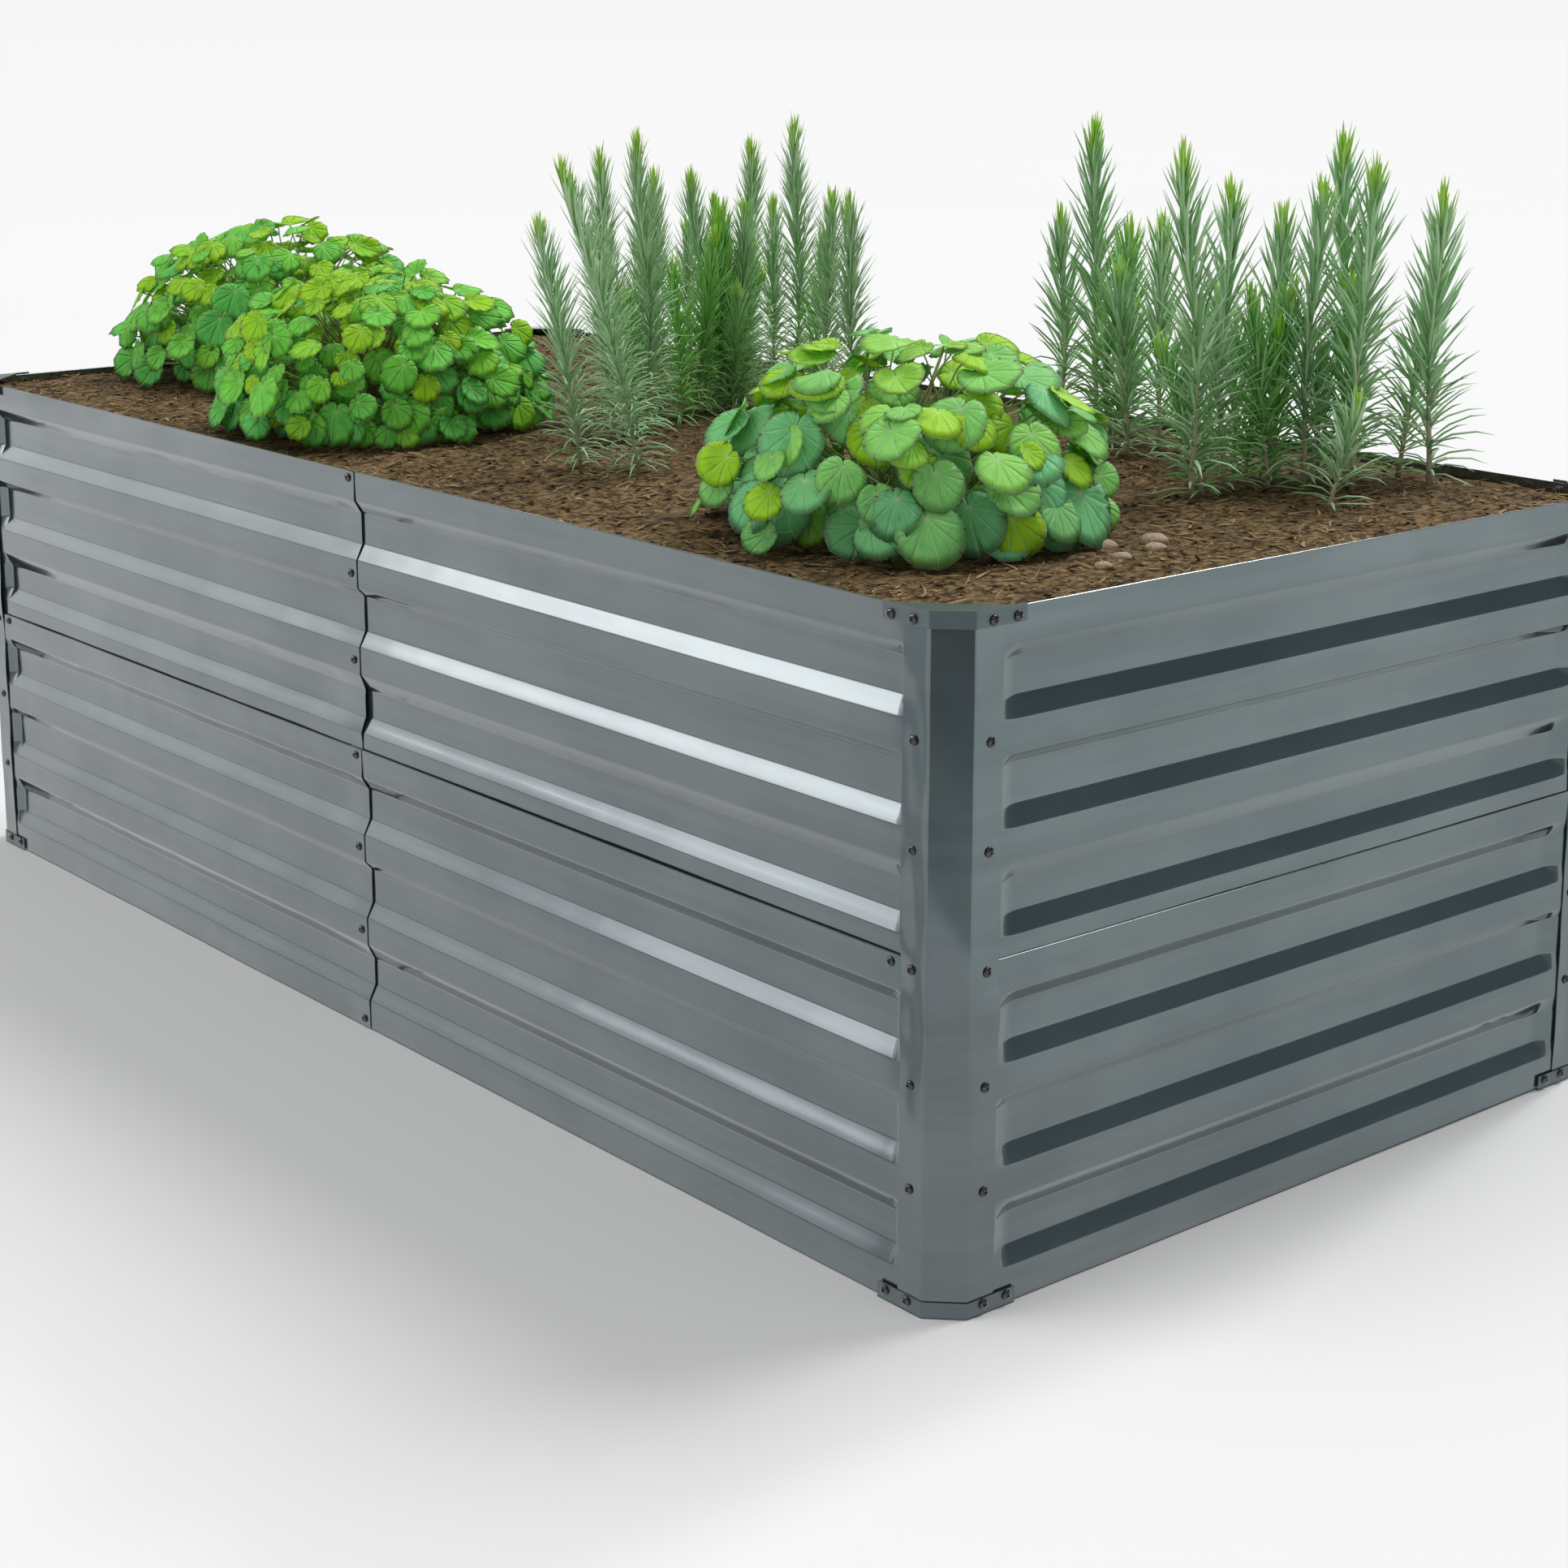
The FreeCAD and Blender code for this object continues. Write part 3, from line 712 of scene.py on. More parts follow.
@dataclass(frozen=True)
class Needle:
    """A resinous needle: green above, silvery below and towards its foot, yellow-green on new growth."""

    name: str
    green: Colour
    silver: Colour
    fresh: Colour
    tip: Colour
    bloom: float = 0.0

    def material(self) -> Finish:
        """Makes the finish from the needle's UV map and its place up the shoot."""
        recipe = Recipe.named(self.name)
        around, along = recipe.uv()
        tone, height, fresh = recipe.mark("tone"), recipe.mark("height"), recipe.mark("fresh")
        midrib = ((around * 3.0).math("FRACT") - 0.5).math("ABSOLUTE").step(0.32, 0.5)
        colour = self.green
        for shade, share in ((self.silver, tone * 0.75 + midrib * 0.35 + self.bloom),
                             (self.silver, along.step(0.5, 0.0) * 0.40),
                             (self.fresh, fresh * 0.85),
                             (self.tip, (height + tone * 0.06 + along * 0.03).step(0.90, 1.03) * 0.9)):
            colour = recipe.mix(colour, shade, share)
        return recipe.finish(Base_Color=colour, Roughness=tone.span(0.45, 0.65),
                             Specular_IOR_Level=0.2)


# ---------------------------------------------------------------------- the walls
class Side(Enum):
    """The four walls: name, and the turn in degrees from the front wall."""

    FRONT = ("front", 0)
    RIGHT_END = ("right_end", 90)
    BACK = ("back", 180)
    LEFT_END = ("left_end", 270)

    def halves(self) -> tuple[Half, ...]:
        """Names the panels of one row: two on a long wall and one on an end wall."""
        return (Half.LEFT, Half.RIGHT) if self in (Side.FRONT, Side.BACK) else (Half.WHOLE,)

    def across(self, points: Array) -> Array:
        """Turns points of the bed into this wall's own frame: along it, into the bed, up."""
        flat = turned(points[..., 0], points[..., 1], -math.radians(self.value[1]))
        return np.stack([*flat, points[..., 2]], axis=-1)

    def back(self, points: Array) -> Array:
        """Turns points of this wall's own frame back into the bed's."""
        flat = turned(points[..., 0], points[..., 1], math.radians(self.value[1]))
        return np.stack([*flat, points[..., 2]], axis=-1)


class Row(Enum):
    """The two rows of panels."""

    LOWER = "lower"
    UPPER = "upper"


class Half(Enum):
    """How much of its wall a panel takes, as the end of its name."""

    LEFT = "_left"
    RIGHT = "_right"
    WHOLE = ""


@dataclass
class Panels:
    """The corrugated panels: flat rims and ridges, pressed grooves, closed ends and springy free edges."""

    sheet: float = 0.8 * MM
    rim: float = 31.0 * MM
    ridge: float = 29.5 * MM
    floor: float = 29.0 * MM
    slope: float = 17.0 * MM
    depth: float = 9.0 * MM
    bend: float = 1.3 * MM
    heads: tuple[float, ...] = (17.0 * MM, 9.5 * MM, 14.0 * MM)
    end_margin: float = 22.0 * MM
    end_slope: float = 17.0 * MM
    end_wall_slope: float = 1.5
    end_wall_bend: float = 5.0
    edge_radius: float = 1.15 * MM
    buckle: float = 0.12 * MM
    left_buckle: float = 1.9
    slow_wave: Span = (0.16, 0.10)
    quick_wave: Span = (0.05, 0.12)
    quick_share: float = 0.25
    hold: float = 0.05
    column: float = 13.0 * MM
    end_columns: int = 18
    row: float = 7.5 * MM
    roll_points: int = 5
    screw_inset: float = 8.0 * MM
    screw_grip: Span = (6.0 * MM, 40.0 * MM)
    seam_spring: Span = (1.1 * MM, 60.0 * MM)
    seam_curl: Span = (2.6 * MM, 90.0 * MM)
    lap_spring: Span = (0.9 * MM, 26.0 * MM)
    right_lap_spring: float = 1.7 * MM

    def grooves(self) -> list[tuple[float, float, float, float]]:
        """Gives the bends of each groove: its foot, the start and end of its floor, and its head."""
        bends = []
        for number, fall in enumerate(self.heads):
            foot = self.rim + number * (self.floor + 2 * self.slope + self.ridge)
            head = foot + 2 * self.slope + self.floor
            bends.append((foot, foot + self.slope, head - fall, head))
        return bends

    def heights(self) -> Array:
        """Gives the rows of points up a panel: close together at each bend, further apart on flats."""
        places = [0.0, *(place for groove in self.grooves() for place in groove)]
        top = places[-1] + self.rim
        rows = [0.0]
        for low, high in zip(places, [*places[1:], top]):
            near = low + (self.bend if low else 0.0)
            far = high - (self.bend if high < top else 0.0)
            rows += list(np.linspace(near, far, max(2, int((far - near) / self.row) + 2)))
            if high < top:
                rows += [high - self.bend / 2, high, high + self.bend / 2]
        return np.unique(np.round(rows, 6))

    def pressed(self, up: Array) -> Array:
        """Gives how deep the sheet is pressed: the sum of its grooves, each two soft ramps.

        Args:
            up: Heights over the panel's foot.

        Returns:
            Depths in metres.
        """
        total = np.zeros_like(up)
        for foot, floor, end, head in self.grooves():
            total = total + soft_ramp(up, foot, floor, self.bend)
            total = total - soft_ramp(up, end, head, self.bend)
        return total * self.depth

    def build(self, side: Side, row: Row, half: Half, finish: Finish) -> None:
        """Makes one panel over its solid.

        A point's depth is the pressed profile at its height, times a soft ramp that closes the grooves
        at a post, plus slow waves, less the spring of a free edge that nothing holds.

        Args:
            side: Its wall.
            row: Its row.
            half: How much of the wall it takes.
            finish: The sheet's material.
        """
        name = f"{side.value[0]}_{row.value}{half.value}"
        node = f"panel_{name}"
        low, high = (np.array(corner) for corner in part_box(node))
        box = side.across(np.array([low, high]))
        start, end = box[:, 0].min(), box[:, 0].max()
        rng = np.random.default_rng(sum(map(ord, node)))
        slope, bend = self.end_slope, self.bend
        if half is Half.WHOLE:
            slope, bend = self.end_wall_slope * slope, self.end_wall_bend * bend
        ends = np.linspace(0.0, self.end_margin + slope + 2 * bend, self.end_columns)
        along = np.unique(np.round(np.concatenate([
            start + ends, end - ends, np.arange(start, end, self.column)]), 5))
        x, z = np.meshgrid(along, self.heights(), indexing="ij")
        closed = np.ones_like(x)
        first, last = start + self.end_margin, end - self.end_margin
        if half is not Half.RIGHT:
            closed = closed * soft_ramp(x, first, first + slope, bend)
        if half is not Half.LEFT:
            closed = closed * (1 - soft_ramp(x, last - slope, last, bend))
        y = box[:, 1].min() + self.pressed(z) * closed
        buckle = self.buckle * (self.left_buckle if half is Half.LEFT else 1.0)
        wave = buckle * (waves(x, z, *self.slow_wave, rng)
                         + self.quick_share * waves(x, z, *self.quick_wave, rng))
        held = smooth_step(0.0, self.hold, x - start) * smooth_step(0.0, self.hold, end - x)
        y = y + wave * held
        y = y - self.sprung(x, z, start, end, row, half)
        skin = self.section(along, y, z)
        skin.points = side.back(skin.points + np.array([0.0, 0.0, low[2]])).reshape(-1, 3)
        skin.piece(f"sheet_{name}", finish, "coated_sheet", node, sharp=40.0)

    def section(self, along: Array, y: Array, z: Array) -> Skin:
        """Closes the sheet: up its outer face, round the rolled top edge and down its inner face.

        The roll is a half circle about a line in the sheet's middle, one edge radius under its top.

        Args:
            along: Where the columns of points stand.
            y: The outer face's depth, column by column.
            z: Its height.

        Returns:
            The closed skin.
        """
        top = z[0, -1]
        angle = np.linspace(0.0, np.pi, self.roll_points + 2)[1:-1]
        roll_y = y[:, -1:] + self.sheet / 2 - self.edge_radius * np.cos(angle)
        roll_z = np.broadcast_to(top - self.edge_radius + self.edge_radius * np.sin(angle), roll_y.shape)
        cut = np.minimum(z, top - self.edge_radius)
        section_y = np.concatenate([y, roll_y, y[:, ::-1] + self.sheet], axis=1)
        section_z = np.concatenate([cut, roll_z, cut[:, ::-1]], axis=1)
        section_x = np.broadcast_to(along[:, None], section_y.shape)
        points = np.stack([section_x, section_y, section_z], axis=-1)
        columns, count = section_y.shape
        caps = np.stack([np.arange(count), np.arange(count)[::-1] + (columns - 1) * count])
        return Skin(points, [grid_faces(columns, count, wrap=True), caps])

    def sprung(self, x: Array, z: Array, start: float, end: float, row: Row, half: Half) -> Array:
        """Gives how far free edges spring out: the left panel's edge at the seam, and a lapping top edge.

        An edge at the seam stays put at its screws and springs most half way between them. A lapping edge
        springs by the sine of its length, to the power 0.7.

        Args:
            x: Places along the wall.
            z: Heights.
            start: Where the panel starts along the wall.
            end: Where it ends.
            row: Its row.
            half: How much of the wall it takes.

        Returns:
            Distances outwards.
        """
        out = np.zeros_like(x)
        top = z[0, -1]
        if half is Half.LEFT:
            between = [foot - self.ridge / 2 for foot, *_ in self.grooves()[1:]]
            screws = np.array([self.screw_inset, *between, top - self.screw_inset])
            free = smooth_step(*self.screw_grip, np.abs(z[..., None] - screws).min(axis=-1))
            spring, reach = self.seam_spring
            out = out + spring * free * smooth_step(end - reach, end, x)
            if row is Row.UPPER:
                curl, reach = self.seam_curl
                out = out + curl * free ** 2 * smooth_step(end - reach, end, x) * (z < screws[1])
        if row is Row.LOWER:
            share = np.clip((x - start) / (end - start), 0.0, 1.0)
            spring, reach = self.lap_spring
            spring = self.right_lap_spring if half is Half.RIGHT else spring
            out = out + spring * np.sin(np.pi * share) ** 0.7 * smooth_step(top - reach, top, z)
        return out

    def build_all(self, finish: Finish) -> None:
        """Makes the panels of all four walls."""
        for side in Side:
            for row in Row:
                for half in side.halves():
                    self.build(side, row, half, finish)


class Corner(Enum):
    """The four corners: name, and the turn in degrees from the front right one."""

    FRONT_RIGHT = ("front_right", 0)
    BACK_RIGHT = ("back_right", 90)
    BACK_LEFT = ("back_left", 180)
    FRONT_LEFT = ("front_left", 270)


@dataclass
class Posts:
    """The corner posts: sheet bent twice round a chamfer, with hand-formed unevenness."""

    sheet: float = 1.0 * MM
    gap: float = 0.05 * MM
    chamfer: float = 26.0 * MM
    radius: float = 4.0 * MM
    flange_points: int = 7
    bend_points: int = 5
    chamfer_points: int = 6
    row: float = 9.0 * MM
    buckle: float = 0.22 * MM
    wave: Span = (0.05, 0.09)
    hold: float = 0.05
    lip: float = 0.018
    lip_spring: float = 0.45 * MM
    lip_buckle: float = 0.4 * MM
    lip_wave: Span = (0.1, 0.06)
    dent: tuple[float, float, float] = (0.272, 0.022, 2.2 * MM)
    dent_width: float = 0.03
    crease: tuple[float, float, float] = (0.30, 0.012, 1.3 * MM)
    seed: int = 11

    def outline(self, reach: float) -> tuple[Array, Array]:
        """Gives the outer line of the section and its outward normals.

        Three straight runs are joined by two arcs of 45 degrees. The front right corner's wall planes
        meet at the origin.

        Args:
            reach: From the corner to a flange's edge, along the wall.

        Returns:
            Points and unit normals, row by row.
        """
        face = self.gap + self.sheet
        setback = self.chamfer - face * (math.sqrt(2) - 1)
        cut = self.radius * math.tan(math.radians(22.5))
        flat = np.linspace(-reach, -setback - cut, self.flange_points)
        first = np.stack([flat, np.full(len(flat), -face)], axis=1)
        turn = np.radians(np.linspace(-90.0, -45.0, self.bend_points + 1))[1:]
        centre = np.array([-setback - cut, self.radius - face])
        arc = centre + self.radius * np.stack([np.cos(turn), np.sin(turn)], axis=1)
        half = np.concatenate([first, arc])
        mirror = half[::-1, ::-1] * -1.0
        middle = np.linspace(half[-1], mirror[0], self.chamfer_points + 2)[1:-1]
        line = np.concatenate([half, middle, mirror])
        along = unit(np.gradient(line, axis=0))
        return line, np.stack([along[:, 1], -along[:, 0]], axis=1)

    def unevenness(self, corner: Corner, s: Array, z: Array, low: float, high: float) -> Array:
        """Gives how far the sheet stands out: slow waves, springy lips, and a knock on the front right post.

        The waves fade to nothing at both ends of the post. The dent and the crease are bell curves of the
        height, exp(-((z - place) / width)^2).

        Args:
            corner: The post's corner.
            s: Places along the section.
            z: Heights.
            low: The post's foot.
            high: Its head.

        Returns:
            Distances along the outward normals.
        """
        rng = np.random.default_rng(self.seed + corner.value[1])
        length = s[-1, 0]
        fade = smooth_step(0.0, self.hold, z - low) * smooth_step(0.0, self.hold, high - z)
        out = self.buckle * waves(s, z, *self.wave, rng) * fade
        lip = smooth_step(self.lip, 0.0, s) + smooth_step(self.lip, 0.0, length - s)
        out = out + lip * fade * (self.lip_spring + self.lip_buckle * waves(s * 0.0, z, *self.lip_wave, rng))
        if corner is Corner.FRONT_RIGHT:
            place, width, depth = self.dent
            dent = np.exp(-((z - place) / width) ** 2) * smooth_step(self.dent_width, 0.0, length - s)
            out = out + depth * dent
            place, width, depth = self.crease
            out = out - depth * np.exp(-((z - place) / width) ** 2) * lip
        return out

    def build(self, corner: Corner, finish: Finish) -> None:
        """Makes one post over its solid: its section carried straight up, moved out by its unevenness.

        Args:
            corner: Its corner.
            finish: The sheet's material.
        """
        name, turn = corner.value
        low, high = (np.array(c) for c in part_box(f"post_{name}"))
        face = self.gap + self.sheet
        line, normals = self.outline((high - low)[0] - face)
        up = np.linspace(low[2], high[2], int((high[2] - low[2]) / self.row) + 1)
        place = np.concatenate([[0.0], np.cumsum(np.linalg.norm(np.diff(line, axis=0), axis=1))])
        s, z = np.meshgrid(place, up, indexing="ij")
        out = self.unevenness(corner, s, z, low[2], high[2])
        outer = line[:, None] + normals[:, None] * out[..., None]
        inner = outer - normals[:, None] * self.sheet
        ring = np.concatenate([outer, inner[::-1]], axis=0)
        x, y = turned(ring[..., 0], ring[..., 1], math.radians(turn))
        corner_x = high[0] - face if name.endswith("right") else low[0] + face
        corner_y = low[1] + face if name.startswith("front") else high[1] - face
        points = np.stack([x + corner_x, y + corner_y, np.broadcast_to(up, x.shape)], axis=-1)
        columns, rows = x.shape
        i = np.arange(columns // 2 - 1)
        strip = np.stack([i, columns - 1 - i, columns - 2 - i, i + 1], axis=1)
        skin = Skin(points.transpose(1, 0, 2).reshape(-1, 3),
                    [grid_faces(rows, columns, wrap=True), strip, (strip + (rows - 1) * columns)[:, ::-1]])
        skin.piece(f"corner_{name}", finish, "coated_sheet", f"post_{name}", sharp=35.0)


# ---------------------------------------------------------------------- soil
@dataclass
class Soil:
    """The filling: a lumpy top with bark chips, crumbs, fibres and a few stones."""

    cell: float = 5.0 * MM
    lift: float = 5.0 * MM
    lumps: tuple[Span, ...] = ((0.22, 0.55), (0.07, 0.4), (0.028, 0.34), (0.012, 0.26), (0.0065, 0.13))
    sag: float = 2.0 * MM
    sag_width: float = 0.02
    corner_cut: float = 26.0 * MM
    skirt: Span = (0.009, 0.029)
    chips: int = 4600
    crumbs: int = 1700
    margin: float = 0.008
    chip_length: tuple[float, float, float] = (3.0, 0.0045, 0.005)
    chip_width: Span = (0.0005, 0.0020)
    crumb_length: Span = (0.003, 0.007)
    crumb_width: Span = (0.4, 0.6)
    tilt: float = 0.16
    bow: Span = (-0.12, 0.22)
    taper: tuple[float, ...] = (0.45, 1.0, 0.9, 0.35)
    flatness: float = 0.45
    stones: tuple[Point, ...] = (
        (0.780, -0.075, 0.013), (0.803, -0.098, 0.010), (0.772, -0.128, 0.012), (0.812, -0.150, 0.009),
        (0.828, -0.190, 0.008), (0.700, -0.300, 0.007), (0.560, 0.050, 0.007), (-0.450, -0.330, 0.008))
    stone_rings: int = 9
    stone_points: int = 18
    seed: int = 5

    def height(self, x: Array, y: Array, rng: np.random.Generator) -> Array:
        """Gives the soil's height over its mean level: lattice noise of several sizes, added up.

        Args:
            x: Places along the bed.
            y: Places across it.
            rng: The source of the lumps.

        Returns:
            Heights in metres.
        """
        total = np.zeros_like(x)
        for cell, share in self.lumps:
            total = total + share * lattice_noise(x, y, cell, rng)
        return total * self.lift

    def build(self, finish: Finish, stone: Finish) -> None:
        """Makes the soil, what lies on it, and the stones.

        The top is a grid whose corners are folded in along the chamfers. It sags at its rim, and a skirt
        leads from the rim to the straight lower block.

        Args:
            finish: The growing mix.
            stone: The stones' material.
        """
        low, high = (np.array(c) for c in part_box("soil"))
        rng = np.random.default_rng(self.seed)
        nx, ny = (int((high[axis] - low[axis]) / self.cell) + 1 for axis in (0, 1))
        x, y = np.meshgrid(np.linspace(low[0], high[0], nx), np.linspace(low[1], high[1], ny),
                           indexing="ij")
        rough = self.height(x, y, rng)
        rim = np.minimum.reduce([x - low[0], high[0] - x, y - low[1], high[1] - y])
        z = (high[2] + rough * smooth_step(-0.5 * self.sag_width, self.sag_width, rim)
             - self.sag * smooth_step(self.sag_width, 0.0, rim))
        over = np.maximum(0.0, (np.abs(x) - high[0]) + (np.abs(y) - high[1]) + self.corner_cut)
        top = np.stack([x - np.sign(x) * over / 2, y - np.sign(y) * over / 2, z], axis=-1)
        edge = np.concatenate([np.arange(nx) * ny, (nx - 1) * ny + np.arange(1, ny),
                               np.arange(nx - 2, -1, -1) * ny + ny - 1, np.arange(ny - 2, 0, -1)])
        loop = top.reshape(-1, 3)[edge]
        inset, drop = self.skirt
        under = loop * np.array([1.0 - inset / high[0], 1.0 - inset / high[1], 1.0])
        under[:, 2] = high[2] - drop
        bottom = under.copy()
        bottom[:, 2] = low[2]
        count = len(loop)
        base = np.arange(count)[None, ::-1] + 2 * count
        block = Skin(np.concatenate([loop, under, bottom]),
                     [grid_faces(3, count, wrap=True)[:, ::-1], base])
        bed = Skin(top.reshape(-1, 3), [grid_faces(nx, ny)])
        Skin.together([bed, block]).piece("soil_bed", finish, "growing_mix", "soil", sharp=60.0)
        self.litter(low, high, top, rng).piece("soil_litter", finish, "growing_mix", sharp=60.0)
        self.build_stones(stone, rng, high[2])

    def litter(self, low: Array, high: Array, top: Array, rng: np.random.Generator) -> Skin:
        """Scatters bark chips and fibres: each a flat bent blade of random length, width, turn and tilt.

        Args:
            low: The soil's lowest corner.
            high: Its highest corner.
            top: The points of its top, column by column.
            rng: The source of places and shapes.

        Returns:
            The blades, with each one's tone on its points.
        """
        count = self.chips + self.crumbs
        crumb = np.arange(count) >= self.chips
        x = rng.uniform(low[0] + self.margin, high[0] - self.margin, count)
        y = rng.uniform(low[1] + self.margin, high[1] - self.margin, count)
        inside = (np.abs(x) - high[0]) + (np.abs(y) - high[1]) < -self.corner_cut - self.margin
        x, y, crumb = x[inside], y[inside], crumb[inside]
        count = len(x)
        shape, scale, least = self.chip_length
        length = np.where(crumb, rng.uniform(*self.crumb_length, count),
                          rng.gamma(shape, scale, count) + least)
        width = np.where(crumb, length * rng.uniform(*self.crumb_width, count),
                         rng.uniform(*self.chip_width, count))
        turn = rng.uniform(0, 2 * np.pi, count)
        tilt = rng.normal(0, self.tilt, count)
        bow = rng.uniform(*self.bow, count)
        column = ((x - low[0]) / (high[0] - low[0]) * (len(top) - 1)).astype(int)
        row = ((y - low[1]) / (high[1] - low[1]) * (top.shape[1] - 1)).astype(int)
        base = np.stack([x, y, top[column, row, 2] + width * 0.5 + 0.0006], axis=1)
        t = np.linspace(-0.5, 0.5, len(self.taper))
        heading = np.stack([np.cos(turn), np.sin(turn), np.tan(tilt)], axis=1)
        sideways = np.stack([-np.sin(turn), np.cos(turn), np.zeros(count)], axis=1)
        paths = (base[:, None] + heading[:, None] * (length[:, None] * t)[..., None]
                 + sideways[:, None] * (length[:, None] * bow[:, None] * (t * t - 0.1))[..., None] * 2.0)
        blades = tubes(paths, width[:, None] * np.array(self.taper), 4, self.flatness)
        tone = rng.random(count) * np.where(crumb, 0.5, 1.0)
        blades.numbers["chip"] = np.repeat(tone, 4 * len(self.taper))
        blades.uv = None
        return blades

    def build_stones(self, finish: Finish, rng: np.random.Generator, level: float) -> None:
        """Makes the stones: each a ball of latitude and longitude, squashed and dented by slow waves.

        Args:
            finish: Their material.
            rng: The source of their shapes.
            level: The soil's mean height.
        """
        skins = []
        count = self.stone_points
        around = np.linspace(0, 2 * np.pi, count + 1)[:-1]
        rise = np.linspace(-np.pi / 2, np.pi / 2, self.stone_rings + 2)[1:-1]
        v, u = np.meshgrid(rise, around, indexing="ij")
        for x, y, radius in self.stones:
            size = radius * (1 + 0.10 * np.sin(2 * u + rng.random() * 6) * np.cos(v)
                             + 0.06 * np.sin(3 * u + 2 * v + rng.random() * 6) * np.cos(v))
            stretch = rng.uniform(0.7, 1.0)
            px, py = turned(size * np.cos(v) * np.cos(u), size * np.cos(v) * np.sin(u) * stretch,
                            rng.uniform(0, np.pi))
            pz = size * np.sin(v) * 0.55 + level + radius * 0.25
            points = np.stack([px + x, py + y, pz], axis=-1).reshape(-1, 3)
            poles = np.array([[x, y, level - radius * 0.3], [x, y, level + radius * 0.8]])
            last = len(points)
            south = fan_faces(count, last, 0)[:, [0, 2, 1]]
            north = fan_faces(count, last + 1, last - count)
            skins.append(Skin(np.concatenate([points, poles]),
                              [grid_faces(self.stone_rings, count, wrap=True),
                               np.concatenate([south, north])]))
        Skin.together(skins).piece("stones", finish, "growing_mix")


# ---------------------------------------------------------------------- leafy clumps
@dataclass
class LeafyClump:
    """A mound of round leaves on stalks that spring from one crown."""

    node: str
    leaves: int
    seed: int
    size: Span
    mature: float
    scallop: float = 0.045
    notch: float = 0.46
    join: float = 0.58
    swell: float = 1.0
    lean: Point = (0.30, -0.38, 0.28)
    scatter: float = 0.27
    rings: tuple[float, ...] = (0.36, 0.72, 1.0)
    spokes: int = 26
    thickness: float = 0.45 * MM
    outer_share: float = 0.62
    inner: Span = (0.62, 0.9)
    clearance: Span = (0.014, 0.003)
    stalk_points: int = 6
    stalk_radii: Span = (1.5, 0.8)

    def outline(self, angle: Array) -> Array:
        """Gives a leaf's reach from its stalk in each direction, in leaf radii.

        A circle of radius 1 stands off centre by join. Its rim is scalloped by a cosine, and pulled in at
        the notch behind the stalk.

        Args:
            angle: Directions from the leaf's tip, in radians.

        Returns:
            The reach in each direction.
        """
        circle = self.join * np.cos(angle) + np.sqrt(1 - (self.join * np.sin(angle)) ** 2)
        notch = 1 - self.notch * np.exp(-((np.pi - np.abs(angle)) / 0.20) ** 2)
        return circle * notch * (1 + self.scallop * np.cos(self.spokes / 2 * angle))

    def blades(self, spots: Array, normals: Array, heads: Array, sizes: Array, ages: Array,
               rng: np.random.Generator) -> Skin:
        """Makes all leaves at once as thin closed blades.

        A blade is a disc of rings round its stalk. Its height is a bowl that grows with the square of the
        distance, plus two and three slow waves round it, a fold down its middle and the pleats of its
        scallops. The lower face lacks the rim's ring and borrows the upper one's.

        Args:
            spots: Where each stalk ends.
            normals: Which way each leaf faces.
            heads: Which way each leaf's tip points.
            sizes: Leaf radii.
            ages: 0 for a new leaf to 1 for a grown one.
            rng: The source of folds and waves.

        Returns:
            The skin, with age and distance to the rim on its points and a UV map centred on the stalk.
        """
        count = len(spots)
        angle = -np.pi + 2 * np.pi * np.arange(self.spokes) / self.spokes
        ring = np.array(self.rings)[:, None]
        flat_x = ring * self.outline(angle) * np.cos(angle)
        flat_y = ring * self.outline(angle) * np.sin(angle)

        def each(low: float, high: float) -> Array:
            """Gives one random number for each leaf."""
            return rng.uniform(low, high, count)[:, None, None]

        height = (each(-0.30, 0.14) * ring ** 2
                  + each(-0.12, 0.12) * ring ** 2 * np.cos(2 * angle + each(0, 6.3))
                  + each(-0.08, 0.08) * ring ** 2 * np.cos(3 * angle + each(0, 6.3))
                  + each(-0.05, 0.22) * ring * np.abs(np.sin(angle))
                  - 0.018 * ring * np.cos(self.spokes / 2 * angle))
        rim = np.stack(np.broadcast_arrays(flat_x, flat_y, height), axis=-1).reshape(count, -1, 3)
        upper = np.concatenate([np.zeros((count, 1, 3)), rim], axis=1)
        frame = np.stack([heads, np.cross(normals, heads), normals], axis=1)
        upper = np.einsum("nij,njk->nik", upper * sizes[:, None, None], frame) + spots[:, None]
        inner = np.arange(1 + (len(ring) - 1) * self.spokes)
        lower = upper[:, inner] - normals[:, None] * self.thickness
        points = np.concatenate([upper, lower], axis=1)
        each_points = points.shape[1]
        under = np.arange(upper.shape[1])
        under[inner] = upper.shape[1] + inner
        quads = grid_faces(len(ring), self.spokes, wrap=True, first=1)[:, ::-1]
        faces = [copies(np.concatenate([part, under[part][:, ::-1]]), each_points, count)
                 for part in (fan_faces(self.spokes), quads)]
        flat = np.stack([flat_x, flat_y], axis=-1).reshape(-1, 2)
        flat = np.concatenate([[[0.0, 0.0]], flat])
        flat = np.concatenate([flat, flat[inner]]) / LEAF_MAP_SPAN + 0.5
        out = np.concatenate([[0.0], np.repeat(self.rings, self.spokes)])
        numbers = {"age": np.repeat(ages, each_points),
                   "rim": np.tile(np.concatenate([out, out[inner]]), count)}
        return Skin(points.reshape(-1, 3), faces, numbers, np.tile(flat, (count, 1)))

